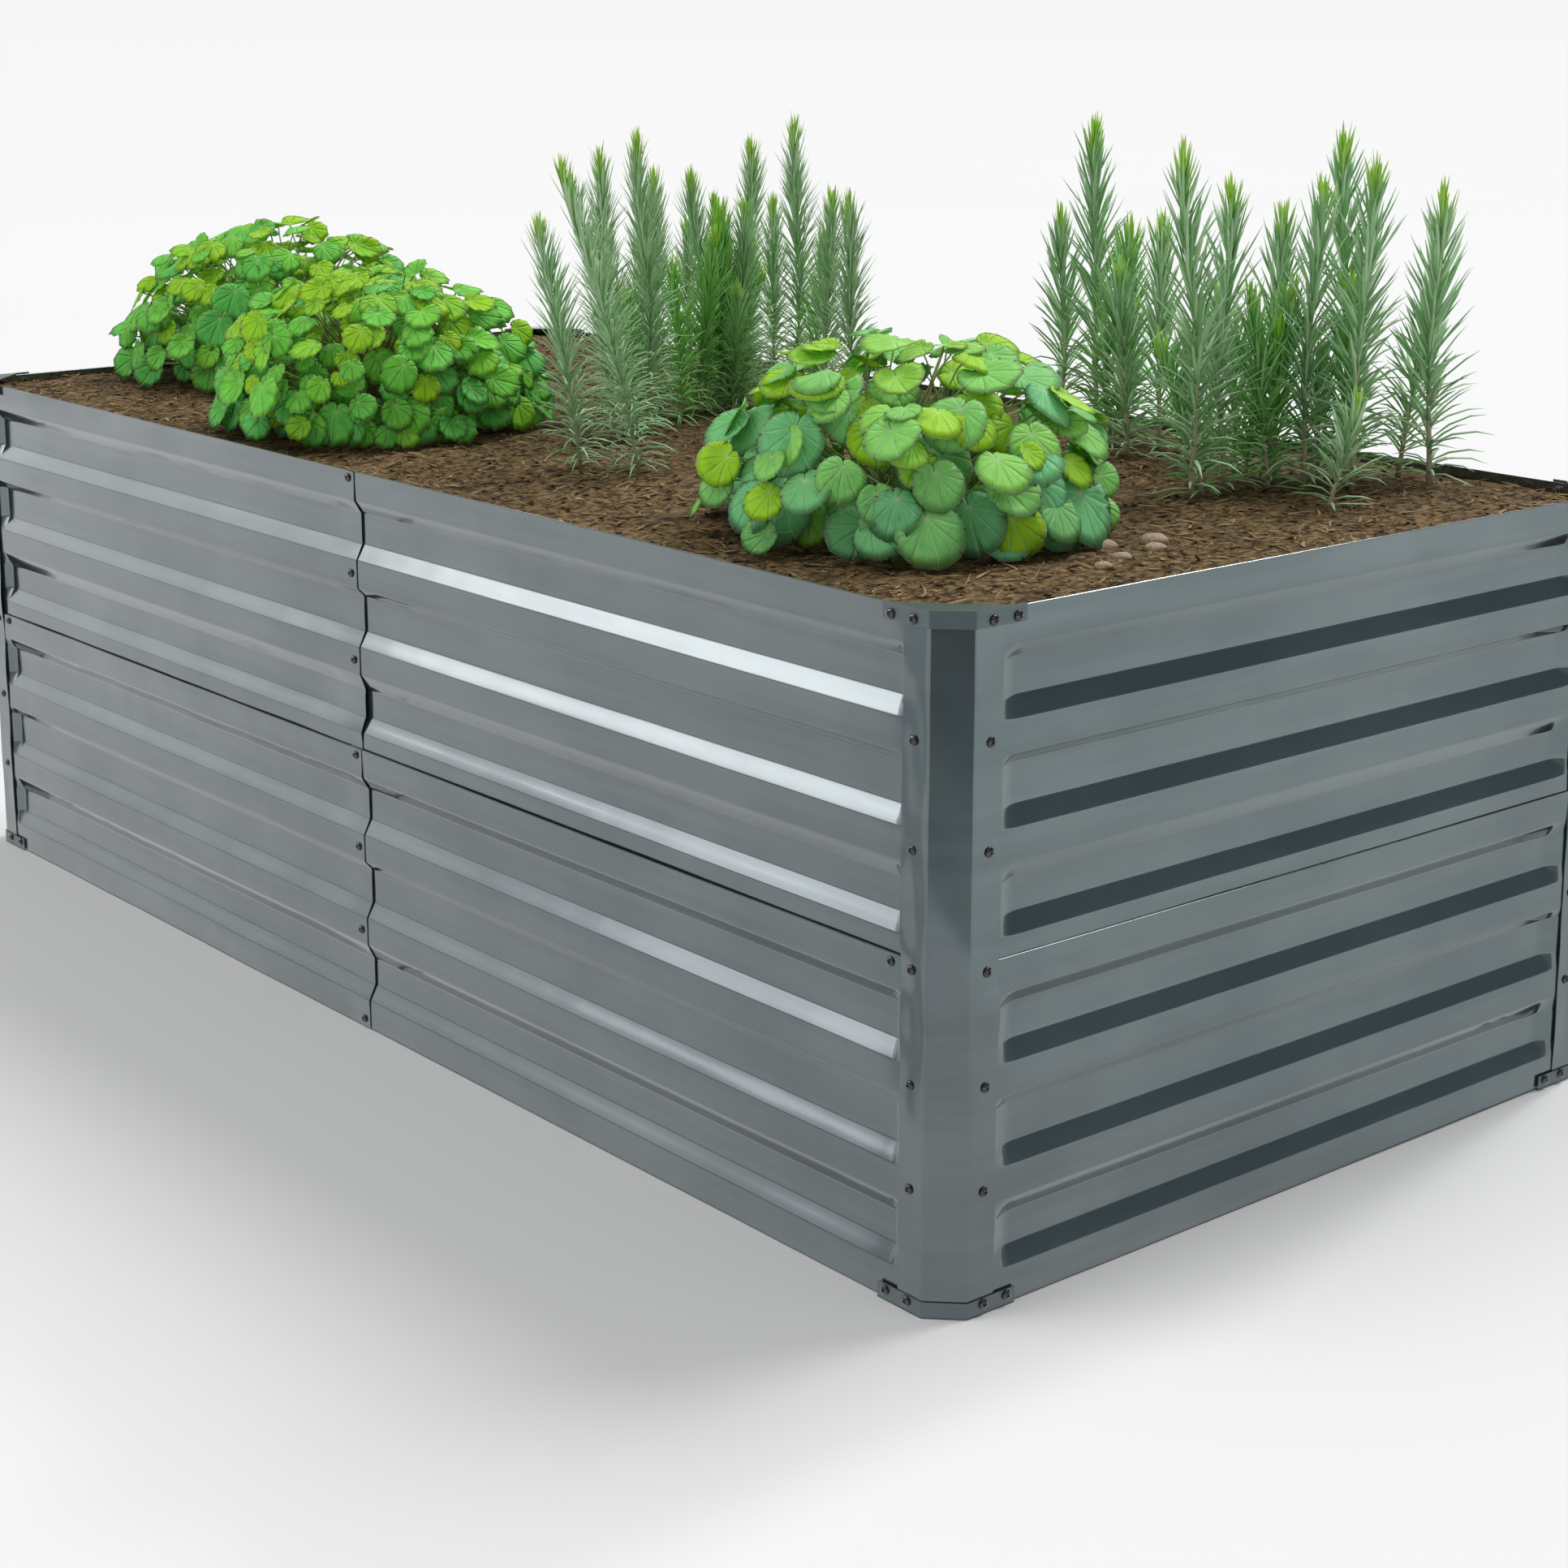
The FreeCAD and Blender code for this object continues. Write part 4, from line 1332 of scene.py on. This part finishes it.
    def build(self, blade: Finish, stalk: Finish) -> None:
        """Makes the clump over its solid.

        Leaves are spread over a dome by the golden angle, in an outer and an inner layer, and lean from
        the dome's own normal towards the light. The dome's width is (1 - rise^2.6)^0.5. A leaf that
        would dip into the soil is lifted out of it.

        Args:
            blade: The leaves' material.
            stalk: The stalks' material.
        """
        low, high = (np.array(c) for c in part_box(self.node))
        centre, radius = (low + high) / 2, (high - low)[0] / 2 * self.swell
        height = (high[2] - low[2]) * self.swell
        rng = np.random.default_rng(self.seed)
        count = self.leaves
        share = (np.arange(count) + 0.5) / count
        turn = np.arange(count) * GOLDEN_TURN + rng.normal(0, 0.25, count)
        rise = np.clip(1.0 - share ** 0.90 + rng.normal(0, 0.03, count), 0.02, 1.0)
        layer = np.where(rng.random(count) < self.outer_share, 1.0, rng.uniform(*self.inner, count))
        ages = np.clip(self.mature + 0.5 * (0.42 - rise) + rng.normal(0, 0.26, count), 0.0, 1.0)
        young = rng.random(count) < 0.02 + 0.13 * rise
        ages = np.where(young, ages * 0.15, ages)
        sizes = rng.uniform(*self.size, count) * (0.74 + 0.26 * ages) / 2
        wide = np.sqrt(np.clip(1 - rise ** 2.6 + 0.06 * (turn % 1.0), 0.0, 1.0))
        out = wide * (radius - sizes * 0.30) * layer * rng.normal(1.0, 0.045, count)
        above, least = self.clearance
        spots = np.stack([centre[0] + out * np.cos(turn), centre[1] + out * np.sin(turn),
                          low[2] + above + (height - 0.020) * rise * (0.55 + 0.45 * layer)], axis=1)
        dome = unit(np.stack([np.cos(turn) * wide, np.sin(turn) * wide, rise + 0.10], axis=1))
        normals = unit(dome + np.array(self.lean) + rng.normal(0, self.scatter, (count, 3)))
        down = np.stack([np.cos(turn), np.sin(turn), np.full(count, -0.9)], axis=1)
        down = down + rng.normal(0, 0.5, (count, 3))
        heads = unit(down - normals * np.sum(down * normals, axis=1, keepdims=True))
        blades = self.blades(spots, normals, heads, sizes, ages, rng)
        shapes = blades.points.reshape(count, -1, 3)
        lift = np.maximum(low[2] + least - shapes[..., 2].min(axis=1), 0.0)
        shapes[..., 2] += lift[:, None]
        spots[:, 2] += lift
        blades.piece(self.node.replace("leafy_clump", "leaves"), blade, "leafy_foliage", self.node)
        foot = np.array([centre[0], centre[1], low[2] - 0.004])
        stalks = self.stalks(foot, radius, spots, normals, sizes, rng)
        stalks.piece(self.node.replace("leafy_clump", "leaf_stalks"), stalk, "leafy_foliage")

    def stalks(self, foot: Array, radius: float, spots: Array, normals: Array, sizes: Array,
               rng: np.random.Generator) -> Skin:
        """Makes all stalks: each a parabola (1-t)^2 crown + 2t(1-t) middle + t^2 end, thinner at its end.

        Args:
            foot: The middle of the crown.
            radius: The clump's radius.
            spots: Where the leaves sit.
            normals: Which way they face.
            sizes: Their radii.
            rng: The source of places in the crown.

        Returns:
            The stalks' skin.
        """
        count = len(spots)
        crown = np.stack([foot[0] + rng.normal(0, radius * 0.16, count),
                          foot[1] + rng.normal(0, radius * 0.16, count),
                          np.full(count, foot[2])], axis=1)
        t = np.linspace(0, 1, self.stalk_points)[None, :, None]
        middle = crown * 0.55 + spots * 0.45
        middle[:, 2] = crown[:, 2] + (spots[:, 2] - crown[:, 2]) * rng.uniform(0.55, 0.85, count)
        paths = ((1 - t) ** 2 * crown[:, None] + 2 * t * (1 - t) * middle[:, None]
                 + t ** 2 * (spots - normals * 0.0004)[:, None])
        radii = np.linspace(*self.stalk_radii, self.stalk_points)[None] * MM
        return tubes(paths, radii * (0.7 + 0.6 * sizes[:, None] / self.size[1] * 2), 4)


# ---------------------------------------------------------------------- rosemary
@dataclass
class Rosemary:
    """A group of upright shoots, each a thin stem in a brush of needles, with young growth among them."""

    node: str
    seed: int
    spacing: float
    whorl: int
    length: float
    width: float
    droop: float
    stem: float
    young: int
    side: tuple[Point, ...] = ()
    side_lean: Span = (0.012, -0.018)
    young_height: Span = (0.15, 0.25)
    steps: tuple[float, ...] = (0.0, 0.35, 0.72, 1.0)
    broads: tuple[float, ...] = (0.60, 1.0, 0.85, 0.14)
    shares: tuple[float, ...] = (0.0, 0.12, 0.35, 0.6, 0.85, 1.0)
    climbs: tuple[float, ...] = (14.0, 36.0, 54.0, 62.0, 71.0, 82.0)
    lengths: tuple[float, ...] = (0.62, 0.95, 1.0, 0.90, 0.72, 0.46)
    bends: tuple[float, ...] = (1.0, 0.95, 0.6, 0.15, -0.12, -0.1)
    bow: float = 0.35
    sway: float = 0.035
    stem_points: int = 12
    needle_sides: int = 3
    stem_sides: int = 7
    clearance: float = 0.003

    def shoots(self) -> list[tuple[Array, Array]]:
        """Finds each shoot's foot and tip from the solids of its node.

        Points of one solid are joined through the faces that they share: every point takes the lowest
        number among its neighbours until nothing changes.

        Returns:
            A foot and a tip for each solid.
        """
        mesh = bpy.data.objects[self.node].data
        points = np.empty(len(mesh.vertices) * 3, np.float32)
        mesh.vertices.foreach_get("co", points)
        mesh.calc_loop_triangles()
        triangles = np.empty(len(mesh.loop_triangles) * 3, np.int32)
        mesh.loop_triangles.foreach_get("vertices", triangles)
        spots, same = np.unique(np.round(points.reshape(-1, 3), 5), axis=0, return_inverse=True)
        faces = same.reshape(-1)[triangles].reshape(-1, 3)
        label = np.arange(len(spots))
        while True:
            lowest = label[faces].min(axis=1)
            new = label.copy()
            for corner in range(3):
                np.minimum.at(new, faces[:, corner], lowest)
            new = new[new]
            if np.array_equal(new, label):
                break
            label = new
        found = []
        for island in np.unique(label):
            own = spots[label == island]
            foot = own[own[:, 2] < own[:, 2].min() + 1e-4].mean(axis=0)
            tip = own[own[:, 2] > own[:, 2].max() - 1e-4].mean(axis=0)
            found.append((foot, tip))
        return found

    def young_shoots(self, grown: list[tuple[Array, Array]],
                     rng: np.random.Generator) -> list[tuple[Array, Array]]:
        """Puts the side shoots at their places, and lower shoots between neighbouring grown ones.

        Args:
            grown: The grown shoots' feet and tips.
            rng: The source of places and heights.

        Returns:
            A foot and a tip for each.
        """
        feet = np.array([foot for foot, _ in grown])
        ground = feet[0, 2]
        lean_x, lean_y = self.side_lean
        found = [(np.array([x, y, ground]), np.array([x + lean_x, y + lean_y, ground + height]))
                 for x, y, height in self.side]
        for number in range(self.young):
            first = feet[number % len(feet)]
            order = np.argsort(np.linalg.norm(feet - first, axis=1))
            second = feet[order[1 + int(rng.integers(0, 3))]]
            share = rng.uniform(0.3, 0.7)
            foot = first * share + second * (1 - share) + np.append(rng.normal(0, 0.012, 2), 0.0)
            height = rng.uniform(*self.young_height)
            found.append((foot, foot + np.array([rng.normal(0, 0.02), rng.normal(0, 0.02), height])))
        return found

    def shoot(self, foot: Array, tip: Array, fresh: float,
              rng: np.random.Generator) -> tuple[Skin, Array, Array]:
        """Makes one shoot's needles and its stem's line.

        A needle leaves the stem at an angle that climbs from nearly level at the foot to nearly upright
        at the tip, and then bends by a parabola: down below, up above. Its length follows a curve over
        the shoot's height that is longest low down and short at the tip.

        Args:
            foot: Where the stem meets the soil.
            tip: Where the shoot ends.
            fresh: How far the whole shoot has the colour of new growth, from 0 to 1.
            rng: The source of its irregularities.

        Returns:
            The needles, the stem's points and its radii.
        """
        height = tip[2] - foot[2]
        shape = self.length * (0.62 + 0.38 * min(1.0, height / 0.28))
        rise = (tip - foot) * np.array([1.0, 1.0, 1.0 - 0.36 * shape / height])
        sway = rng.normal(0, self.sway, 2) * height

        def stem(share: Array) -> Array:
            """Gives the stem's line: from foot to tip, with a lean that comes in late and a sway.

            Args:
                share: How far up the stem, from 0 to 1.

            Returns:
                Points.
            """
            lean = (share * (1 - self.bow) + share ** 2 * self.bow)[..., None]
            swing = (np.sin(np.pi * share * 1.3) * share * (1 - share) * 2)[..., None]
            flat = foot[:2] + rise[:2] * lean + sway * swing
            return np.concatenate([flat, foot[2] + rise[2] * share[..., None]], axis=-1)

        whorls = max(8, int(height / self.spacing))
        level = 0.02 + 0.975 * ((np.arange(whorls) + 0.5) / whorls) ** 0.90
        share = np.repeat(level, self.whorl) + rng.normal(0, 0.4 / whorls, whorls * self.whorl)
        share = np.clip(share, 0.012, 1.0)
        count = len(share)
        turn = (np.tile(np.arange(self.whorl), whorls) * 2 * np.pi / self.whorl
                + np.repeat(np.arange(whorls) * 0.9, self.whorl) + rng.normal(0, 0.2, count))
        climb = np.interp(share, self.shares, np.radians(self.climbs)) + rng.normal(0, 0.12, count)
        reach = shape * np.interp(share, self.shares, self.lengths) * rng.uniform(0.78, 1.12, count)
        bend = -self.droop * np.interp(share, self.shares, self.bends) + rng.normal(0, 0.06, count)
        t = np.array(self.steps)
        flat = np.stack([np.cos(turn), np.sin(turn), np.zeros(count)], axis=1)
        up = np.array([0.0, 0.0, 1.0])
        aim = flat * np.cos(climb)[:, None] + up * np.sin(climb)[:, None]
        paths = (stem(share)[:, None] + aim[:, None] * (reach[:, None] * t)[..., None]
                 + up * (reach * bend)[:, None, None] * (t ** 2)[None, :, None])
        paths[..., 2] = np.maximum(paths[..., 2], foot[2] + self.clearance)
        broad = self.width / 2 * rng.uniform(0.8, 1.15, count) * (0.62 + 0.38 * reach / self.length)
        needles = tubes(paths, broad[:, None] * np.array(self.broads), self.needle_sides, 0.5)
        per = len(self.steps) * self.needle_sides
        needles.numbers["height"] = np.repeat(np.clip(share, 0, 1), per)
        needles.numbers["tone"] = np.repeat(rng.random(count), per)
        needles.numbers["fresh"] = np.full(count * per, fresh)
        line = stem(np.linspace(-0.01, 0.99, self.stem_points))
        thick = np.interp(np.linspace(0, 1, self.stem_points), [0, 0.3, 1], [1.0, 0.72, 0.35])
        return needles, line, thick * self.stem / 2 * (0.6 + 0.4 * min(1.0, height / 0.3))

    def build(self, needle: Finish, stem: Finish) -> None:
        """Makes all shoots of the group: the needles as two pieces and the stems as another.

        Args:
            needle: The needles' material.
            stem: The stems' material.
        """
        rng = np.random.default_rng(self.seed)
        grown = self.shoots()
        made = [self.shoot(foot, tip, 0.0, rng) for foot, tip in grown]
        late = [self.shoot(foot, tip, float(rng.uniform(0.35, 1.0)) * (number >= len(self.side)), rng)
                for number, (foot, tip) in enumerate(self.young_shoots(grown, rng))]
        Skin.together([skin for skin, _, _ in made]).piece(
            self.node.replace("rosemary", "needles"), needle, "needle_foliage", self.node)
        Skin.together([skin for skin, _, _ in late]).piece(
            self.node.replace("rosemary", "young_needles"), needle, "needle_foliage")
        lines = np.stack([line for _, line, _ in made + late])
        radii = np.stack([thick for _, _, thick in made + late])
        tubes(lines, radii, self.stem_sides).piece(
            self.node.replace("rosemary", "stems"), stem, "needle_foliage")


# ---------------------------------------------------------------------- pieces that keep their shape
def dress(nodes: dict[str, bpy.types.Object], finishes: dict[str, Finish]) -> None:
    """Gives every solid still shown the finish of the first key that its name holds.

    Args:
        nodes: The part's solids by name.
        finishes: Materials by a part of the names that they belong to.
    """
    for name, solid in nodes.items():
        for key, material in finishes.items():
            if key in name and not solid.hide_render:
                solid.data.materials.clear()
                solid.data.materials.append(material)
                LOG.info("%s keeps its shape, in %s", name, material.name)
                break


# ---------------------------------------------------------------------- the studio
@dataclass(frozen=True)
class Card:
    """A board that only shiny surfaces see: it lights or darkens what they mirror and casts no shadow."""

    name: str
    at: Point
    aim: Point
    size: Span
    glow: Span
    colour: Colour = (1.0, 1.0, 1.0)
    roll: float = 0.0
    soft_edge: Span = (0.10, 0.06)

    def corners(self) -> Array:
        """Gives the board's corners, so that it faces its aim, rolled by an angle about the line to it."""
        centre = np.array(self.at)
        away = unit(np.array(self.aim) - centre)
        level = unit(np.cross(np.array([0.0, 0.0, 1.0]), away))
        upward = np.cross(away, level)
        c, s = math.cos(math.radians(self.roll)), math.sin(math.radians(self.roll))
        across, rise = level * c - upward * s, upward * c + level * s
        signs = np.array([(-1, -1), (1, -1), (1, 1), (-1, 1)]) / 2
        return centre + signs[:, :1] * self.size[0] * across + signs[:, 1:] * self.size[1] * rise

    def build(self) -> None:
        """Hangs the board. It glows from low at its foot to high at its head and fades at its edges."""
        mesh = bpy.data.meshes.new(self.name)
        mesh.from_pydata(self.corners().tolist(), [], [(0, 1, 2, 3)])
        layer = mesh.uv_layers.new(name="UVMap")
        layer.data.foreach_set("uv", [0.0, 0.0, 1.0, 0.0, 1.0, 1.0, 0.0, 1.0])
        recipe = Recipe.named(self.name)
        u, v = recipe.uv()
        edge = ((u * (1.0 - u)).step(0.0, self.soft_edge[0])
                * (v * (1.0 - v)).step(0.0, self.soft_edge[1]))
        glow = recipe.node("ShaderNodeEmission", None,
                           {"Color": self.colour, "Strength": v.span(*self.glow)})
        clear = recipe.node("ShaderNodeBsdfTransparent")
        both = recipe.node("ShaderNodeMixShader", None,
                           {0: edge, 1: clear.outputs[0], 2: glow.outputs[0]})
        recipe.node("ShaderNodeOutputMaterial", None, {"Surface": both.outputs[0]})
        recipe.owner.cycles.emission_sampling = "NONE"
        mesh.materials.append(recipe.owner)
        board = placed(self.name, mesh)
        board.visible_camera = False
        board.visible_diffuse = False
        board.visible_transmission = False
        board.visible_shadow = False


@dataclass(frozen=True)
class Sun:
    """A far soft light: the direction that it comes from, its width in degrees and its power."""

    name: str
    towards: Point
    width: float
    power: float

    def build(self) -> None:
        """Adds the light, turned to shine from its direction."""
        data = bpy.data.lights.new(self.name, "SUN")
        data.angle = math.radians(self.width)
        data.energy = self.power
        x, y, z = self.towards
        placed(self.name, data).rotation_euler = (math.atan2(math.hypot(x, y), z), 0.0, math.atan2(x, -y))


BED_MIDDLE = (0.3, -0.45, 0.4)


@dataclass
class Studio:
    """The pale floor, the soft lights, the boards and the camera."""

    camera_at: Point = (2.4995, -1.939, 1.0888)
    heading: float = 50.29
    pitch: float = 12.69
    lens: float = 64.83
    shift: float = -0.1
    room: float = 0.42
    lean: float = -0.10
    low_sky: Colour = (0.80, 0.81, 0.82)
    high_sky: Colour = (1.0, 1.0, 1.0)
    backdrop: float = 0.922
    floor_rings: tuple[float, ...] = (0.8, 2.0, 4.0, 8.0, 16.0, 32.0, 64.0)
    floor_points: int = 64
    floor_tones: tuple[Colour, Colour] = ((0.90, 0.90, 0.90), (0.915, 0.915, 0.915))
    suns: tuple[Sun, ...] = (
        Sun("key", (0.0, 1.0, 1.50), 26.0, 1.42),
        Sun("key_top", (-0.35, -0.50, 1.0), 30.0, 0.62),
        Sun("key_edge", (-0.19, 1.0, 0.92), 6.0, 0.44),
    )
    cards: tuple[Card, ...] = (
        Card("card_high", (-7.52, -7.87, 5.60), BED_MIDDLE, (7.7, 2.0), (4.7, 4.8),
             (1.0, 0.93, 0.92), 21.3),
        Card("card_low", (-6.73, -9.69, 4.63), BED_MIDDLE, (9.75, 1.80), (2.85, 2.75),
             (1.0, 0.935, 0.96), 11.9),
        Card("card_foot", (-9.86, -7.70, 3.24), BED_MIDDLE, (13.0, 4.3), (0.70, 1.98),
             (0.97, 0.93, 0.95), 20.0),
        Card("card_floor", (-1.60, -1.75, 0.002), (-1.60, -1.749, 3.0), (4.0, 6.6), (0.76, 1.25),
             (1.0, 0.965, 0.97), 90.0),
        Card("card_behind", (-8.1, 7.4, 3.9), BED_MIDDLE, (9.0, 5.0), (2.4, 2.4)),
        Card("flag_flange", (0.562, -0.75, 0.15), (0.888, -0.45, 0.15), (0.055, 0.84), (0.50, 0.60),
             (0.90, 0.97, 1.0)),
        Card("flag_floor", (2.8, 2.7, 0.002), (2.8, 2.701, 3.0), (5.8, 5.0), (1.36, 0.76),
             (0.97, 1.0, 1.0), 90.0),
        Card("flag_right", (3.4, 3.7, 1.75), (0.9, 0.0, 0.4), (4.2, 2.3), (0.24, 0.17),
             (0.72, 0.95, 1.10)),
        Card("flag_near", (1.53, -1.10, 0.28), (0.9, -0.45, 0.28), (0.60, 0.52), (0.50, 0.02),
             (0.85, 0.97, 1.0)),
    )

    def camera(self) -> None:
        """Places the camera: heading is its turn to the left of +Y, and pitch its look down."""
        data = bpy.data.cameras.new("camera")
        data.sensor_width = 36.0
        data.lens = self.lens
        data.shift_y = self.shift
        data.clip_end = 200.0
        camera = placed("camera", data)
        camera.location = self.camera_at
        camera.rotation_euler = (math.radians(90.0 - self.pitch), 0.0, math.radians(self.heading))
        bpy.context.scene.camera = camera

    def floor(self) -> None:
        """Makes a wide flat floor, as rings round the bed's middle."""
        count = self.floor_points
        r, a = np.meshgrid(self.floor_rings, np.linspace(0, 2 * np.pi, count + 1)[:-1], indexing="ij")
        rings = np.stack([r * np.cos(a), r * np.sin(a), r * 0.0], axis=-1).reshape(-1, 3)
        points = np.concatenate([[[0.0, 0.0, 0.0]], rings])
        quads = grid_faces(len(self.floor_rings), count, wrap=True, first=1)[:, ::-1]
        mesh = bpy.data.meshes.new("floor")
        mesh.from_pydata(points.tolist(), [], fan_faces(count).tolist() + quads.tolist())
        mesh.shade_smooth()
        recipe = Recipe.named("pale_floor")
        colour = recipe.mix(*self.floor_tones, recipe.noise(0.6, 2.0))
        mesh.materials.append(recipe.finish(Base_Color=colour, Roughness=0.9, Specular_IOR_Level=0.1))
        floor = placed("floor", mesh)

    def sky(self) -> None:
        """Fills the room with light, most of it from overhead and in front, before a pale backdrop."""
        world = bpy.data.worlds.new("room")
        recipe = Recipe(world)
        aim = recipe.node("ShaderNodeTexCoord").outputs["Generated"]
        split = recipe.node("ShaderNodeSeparateXYZ", None, {0: aim})
        tone = recipe.node("ShaderNodeValToRGB", {"stops": ((0.0, self.low_sky), (0.6, self.high_sky))},
                           {0: split.outputs["Z"]})
        power = recipe.number("ShaderNodeMapRange", None, {
            "Value": split.outputs["Y"], "From Min": -0.4, "From Max": 0.4,
            "To Min": self.room * (1 - self.lean), "To Max": self.room * (1 + self.lean)})
        room = recipe.node("ShaderNodeBackground", None, {"Color": tone.outputs[0], "Strength": power})
        backdrop = recipe.node("ShaderNodeBackground", None,
                               {"Color": self.high_sky, "Strength": self.backdrop})
        seen = recipe.node("ShaderNodeLightPath").outputs["Is Camera Ray"]
        chosen = recipe.node("ShaderNodeMixShader", None,
                             {0: seen, 1: room.outputs[0], 2: backdrop.outputs[0]})
        recipe.node("ShaderNodeOutputWorld", None, {"Surface": chosen.outputs[0]})
        bpy.context.scene.world = world

    def build(self) -> None:
        """Sets up the whole studio."""
        bpy.context.scene.view_settings.view_transform = "Standard"
        self.camera()
        self.floor()
        self.sky()
        for light in self.suns + self.cards:
            light.build()


def build_walls() -> None:
    """Makes the panels and the corner posts."""
    sheet = CoatedSteel("coated_sheet", (0.160, 0.198, 0.206), (0.120, 0.153, 0.162)).material()
    Panels().build_all(sheet)
    posts = Posts()
    for corner in Corner:
        posts.build(corner, sheet)


def build_leafy_clumps() -> None:
    """Makes the three leafy clumps: two of small soft green leaves and one of large bluish ones."""
    soft = LeafBlade("leaf_soft_green", (0.40, 0.90, 0.009), (0.20, 0.84, 0.070), (0.120, 0.68, 0.110),
                     (0.58, 0.88, 0.34), 9, 2.2 * MM).material()
    blue = LeafBlade("leaf_blue_green", (0.39, 0.84, 0.009), (0.27, 0.79, 0.140), (0.170, 0.63, 0.240),
                     (0.58, 0.86, 0.46)).material()
    pink_stalk = Stalk("leaf_stalk_pink", (0.30, 0.14, 0.10), (0.34, 0.42, 0.12)).material()
    green_stalk = Stalk("leaf_stalk_green", (0.22, 0.30, 0.07), (0.42, 0.55, 0.20)).material()
    LeafyClump("leafy_clump_left", 400, 21, (0.032, 0.056), mature=0.50, swell=1.12).build(
        soft, green_stalk)
    LeafyClump("leafy_clump_middle", 370, 22, (0.030, 0.056), mature=0.48).build(soft, pink_stalk)
    LeafyClump("leafy_clump_right", 215, 23, (0.034, 0.074), mature=0.62, scallop=0.012, notch=0.36,
               join=0.50, swell=0.95, lean=(0.16, -0.24, 0.36), scatter=0.34).build(blue, green_stalk)


def build_rosemary() -> None:
    """Makes the two groups of rosemary: a fine silvery one and a coarse darker one."""
    fine = Needle("needle_fine", (0.20, 0.46, 0.16), (0.62, 0.86, 0.55), (0.24, 0.70, 0.06),
                  (0.44, 0.74, 0.06), 0.20).material()
    coarse = Needle("needle_coarse", (0.12, 0.40, 0.10), (0.68, 0.92, 0.60), (0.20, 0.62, 0.05),
                    (0.44, 0.78, 0.05), 0.12).material()
    pale_stem = Stalk("stem_pale", (0.40, 0.38, 0.28), (0.46, 0.55, 0.38)).material()
    brown_stem = Stalk("stem_brown", (0.50, 0.40, 0.30), (0.50, 0.62, 0.42)).material()
    Rosemary("rosemary_middle", 31, spacing=6.2 * MM, whorl=8, length=60 * MM, width=2.9 * MM,
             droop=0.55, stem=4.4 * MM, young=11).build(fine, pale_stem)
    Rosemary("rosemary_right", 32, spacing=11.5 * MM, whorl=7, length=74 * MM, width=4.8 * MM,
             droop=0.42, stem=6.6 * MM, young=9,
             side=((0.578, 0.262, 0.17), (0.632, 0.330, 0.14), (0.492, 0.285, 0.15))).build(
        coarse, brown_stem)


def main() -> None:
    """Builds the bed piece by piece."""
    logging.basicConfig(level=logging.INFO, format="%(name)s: %(message)s")
    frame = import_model()
    build_walls()
    Soil().build(GrowingMix().material(), Pebble().material())
    build_leafy_clumps()
    build_rosemary()
    bracket = CoatedSteel("coated_bracket", (0.150, 0.185, 0.192), (0.115, 0.145, 0.155),
                          roughness=0.42, coat=0.1).material()
    dress(frame["nodes"], {"screws": BlackNickel().material(), "nuts": ZincPlate().material(),
                           "brace": ZincPlate("zinc_brace").material(), "bracket": bracket})
    Studio().build()


if __name__ == "__main__":
    main()
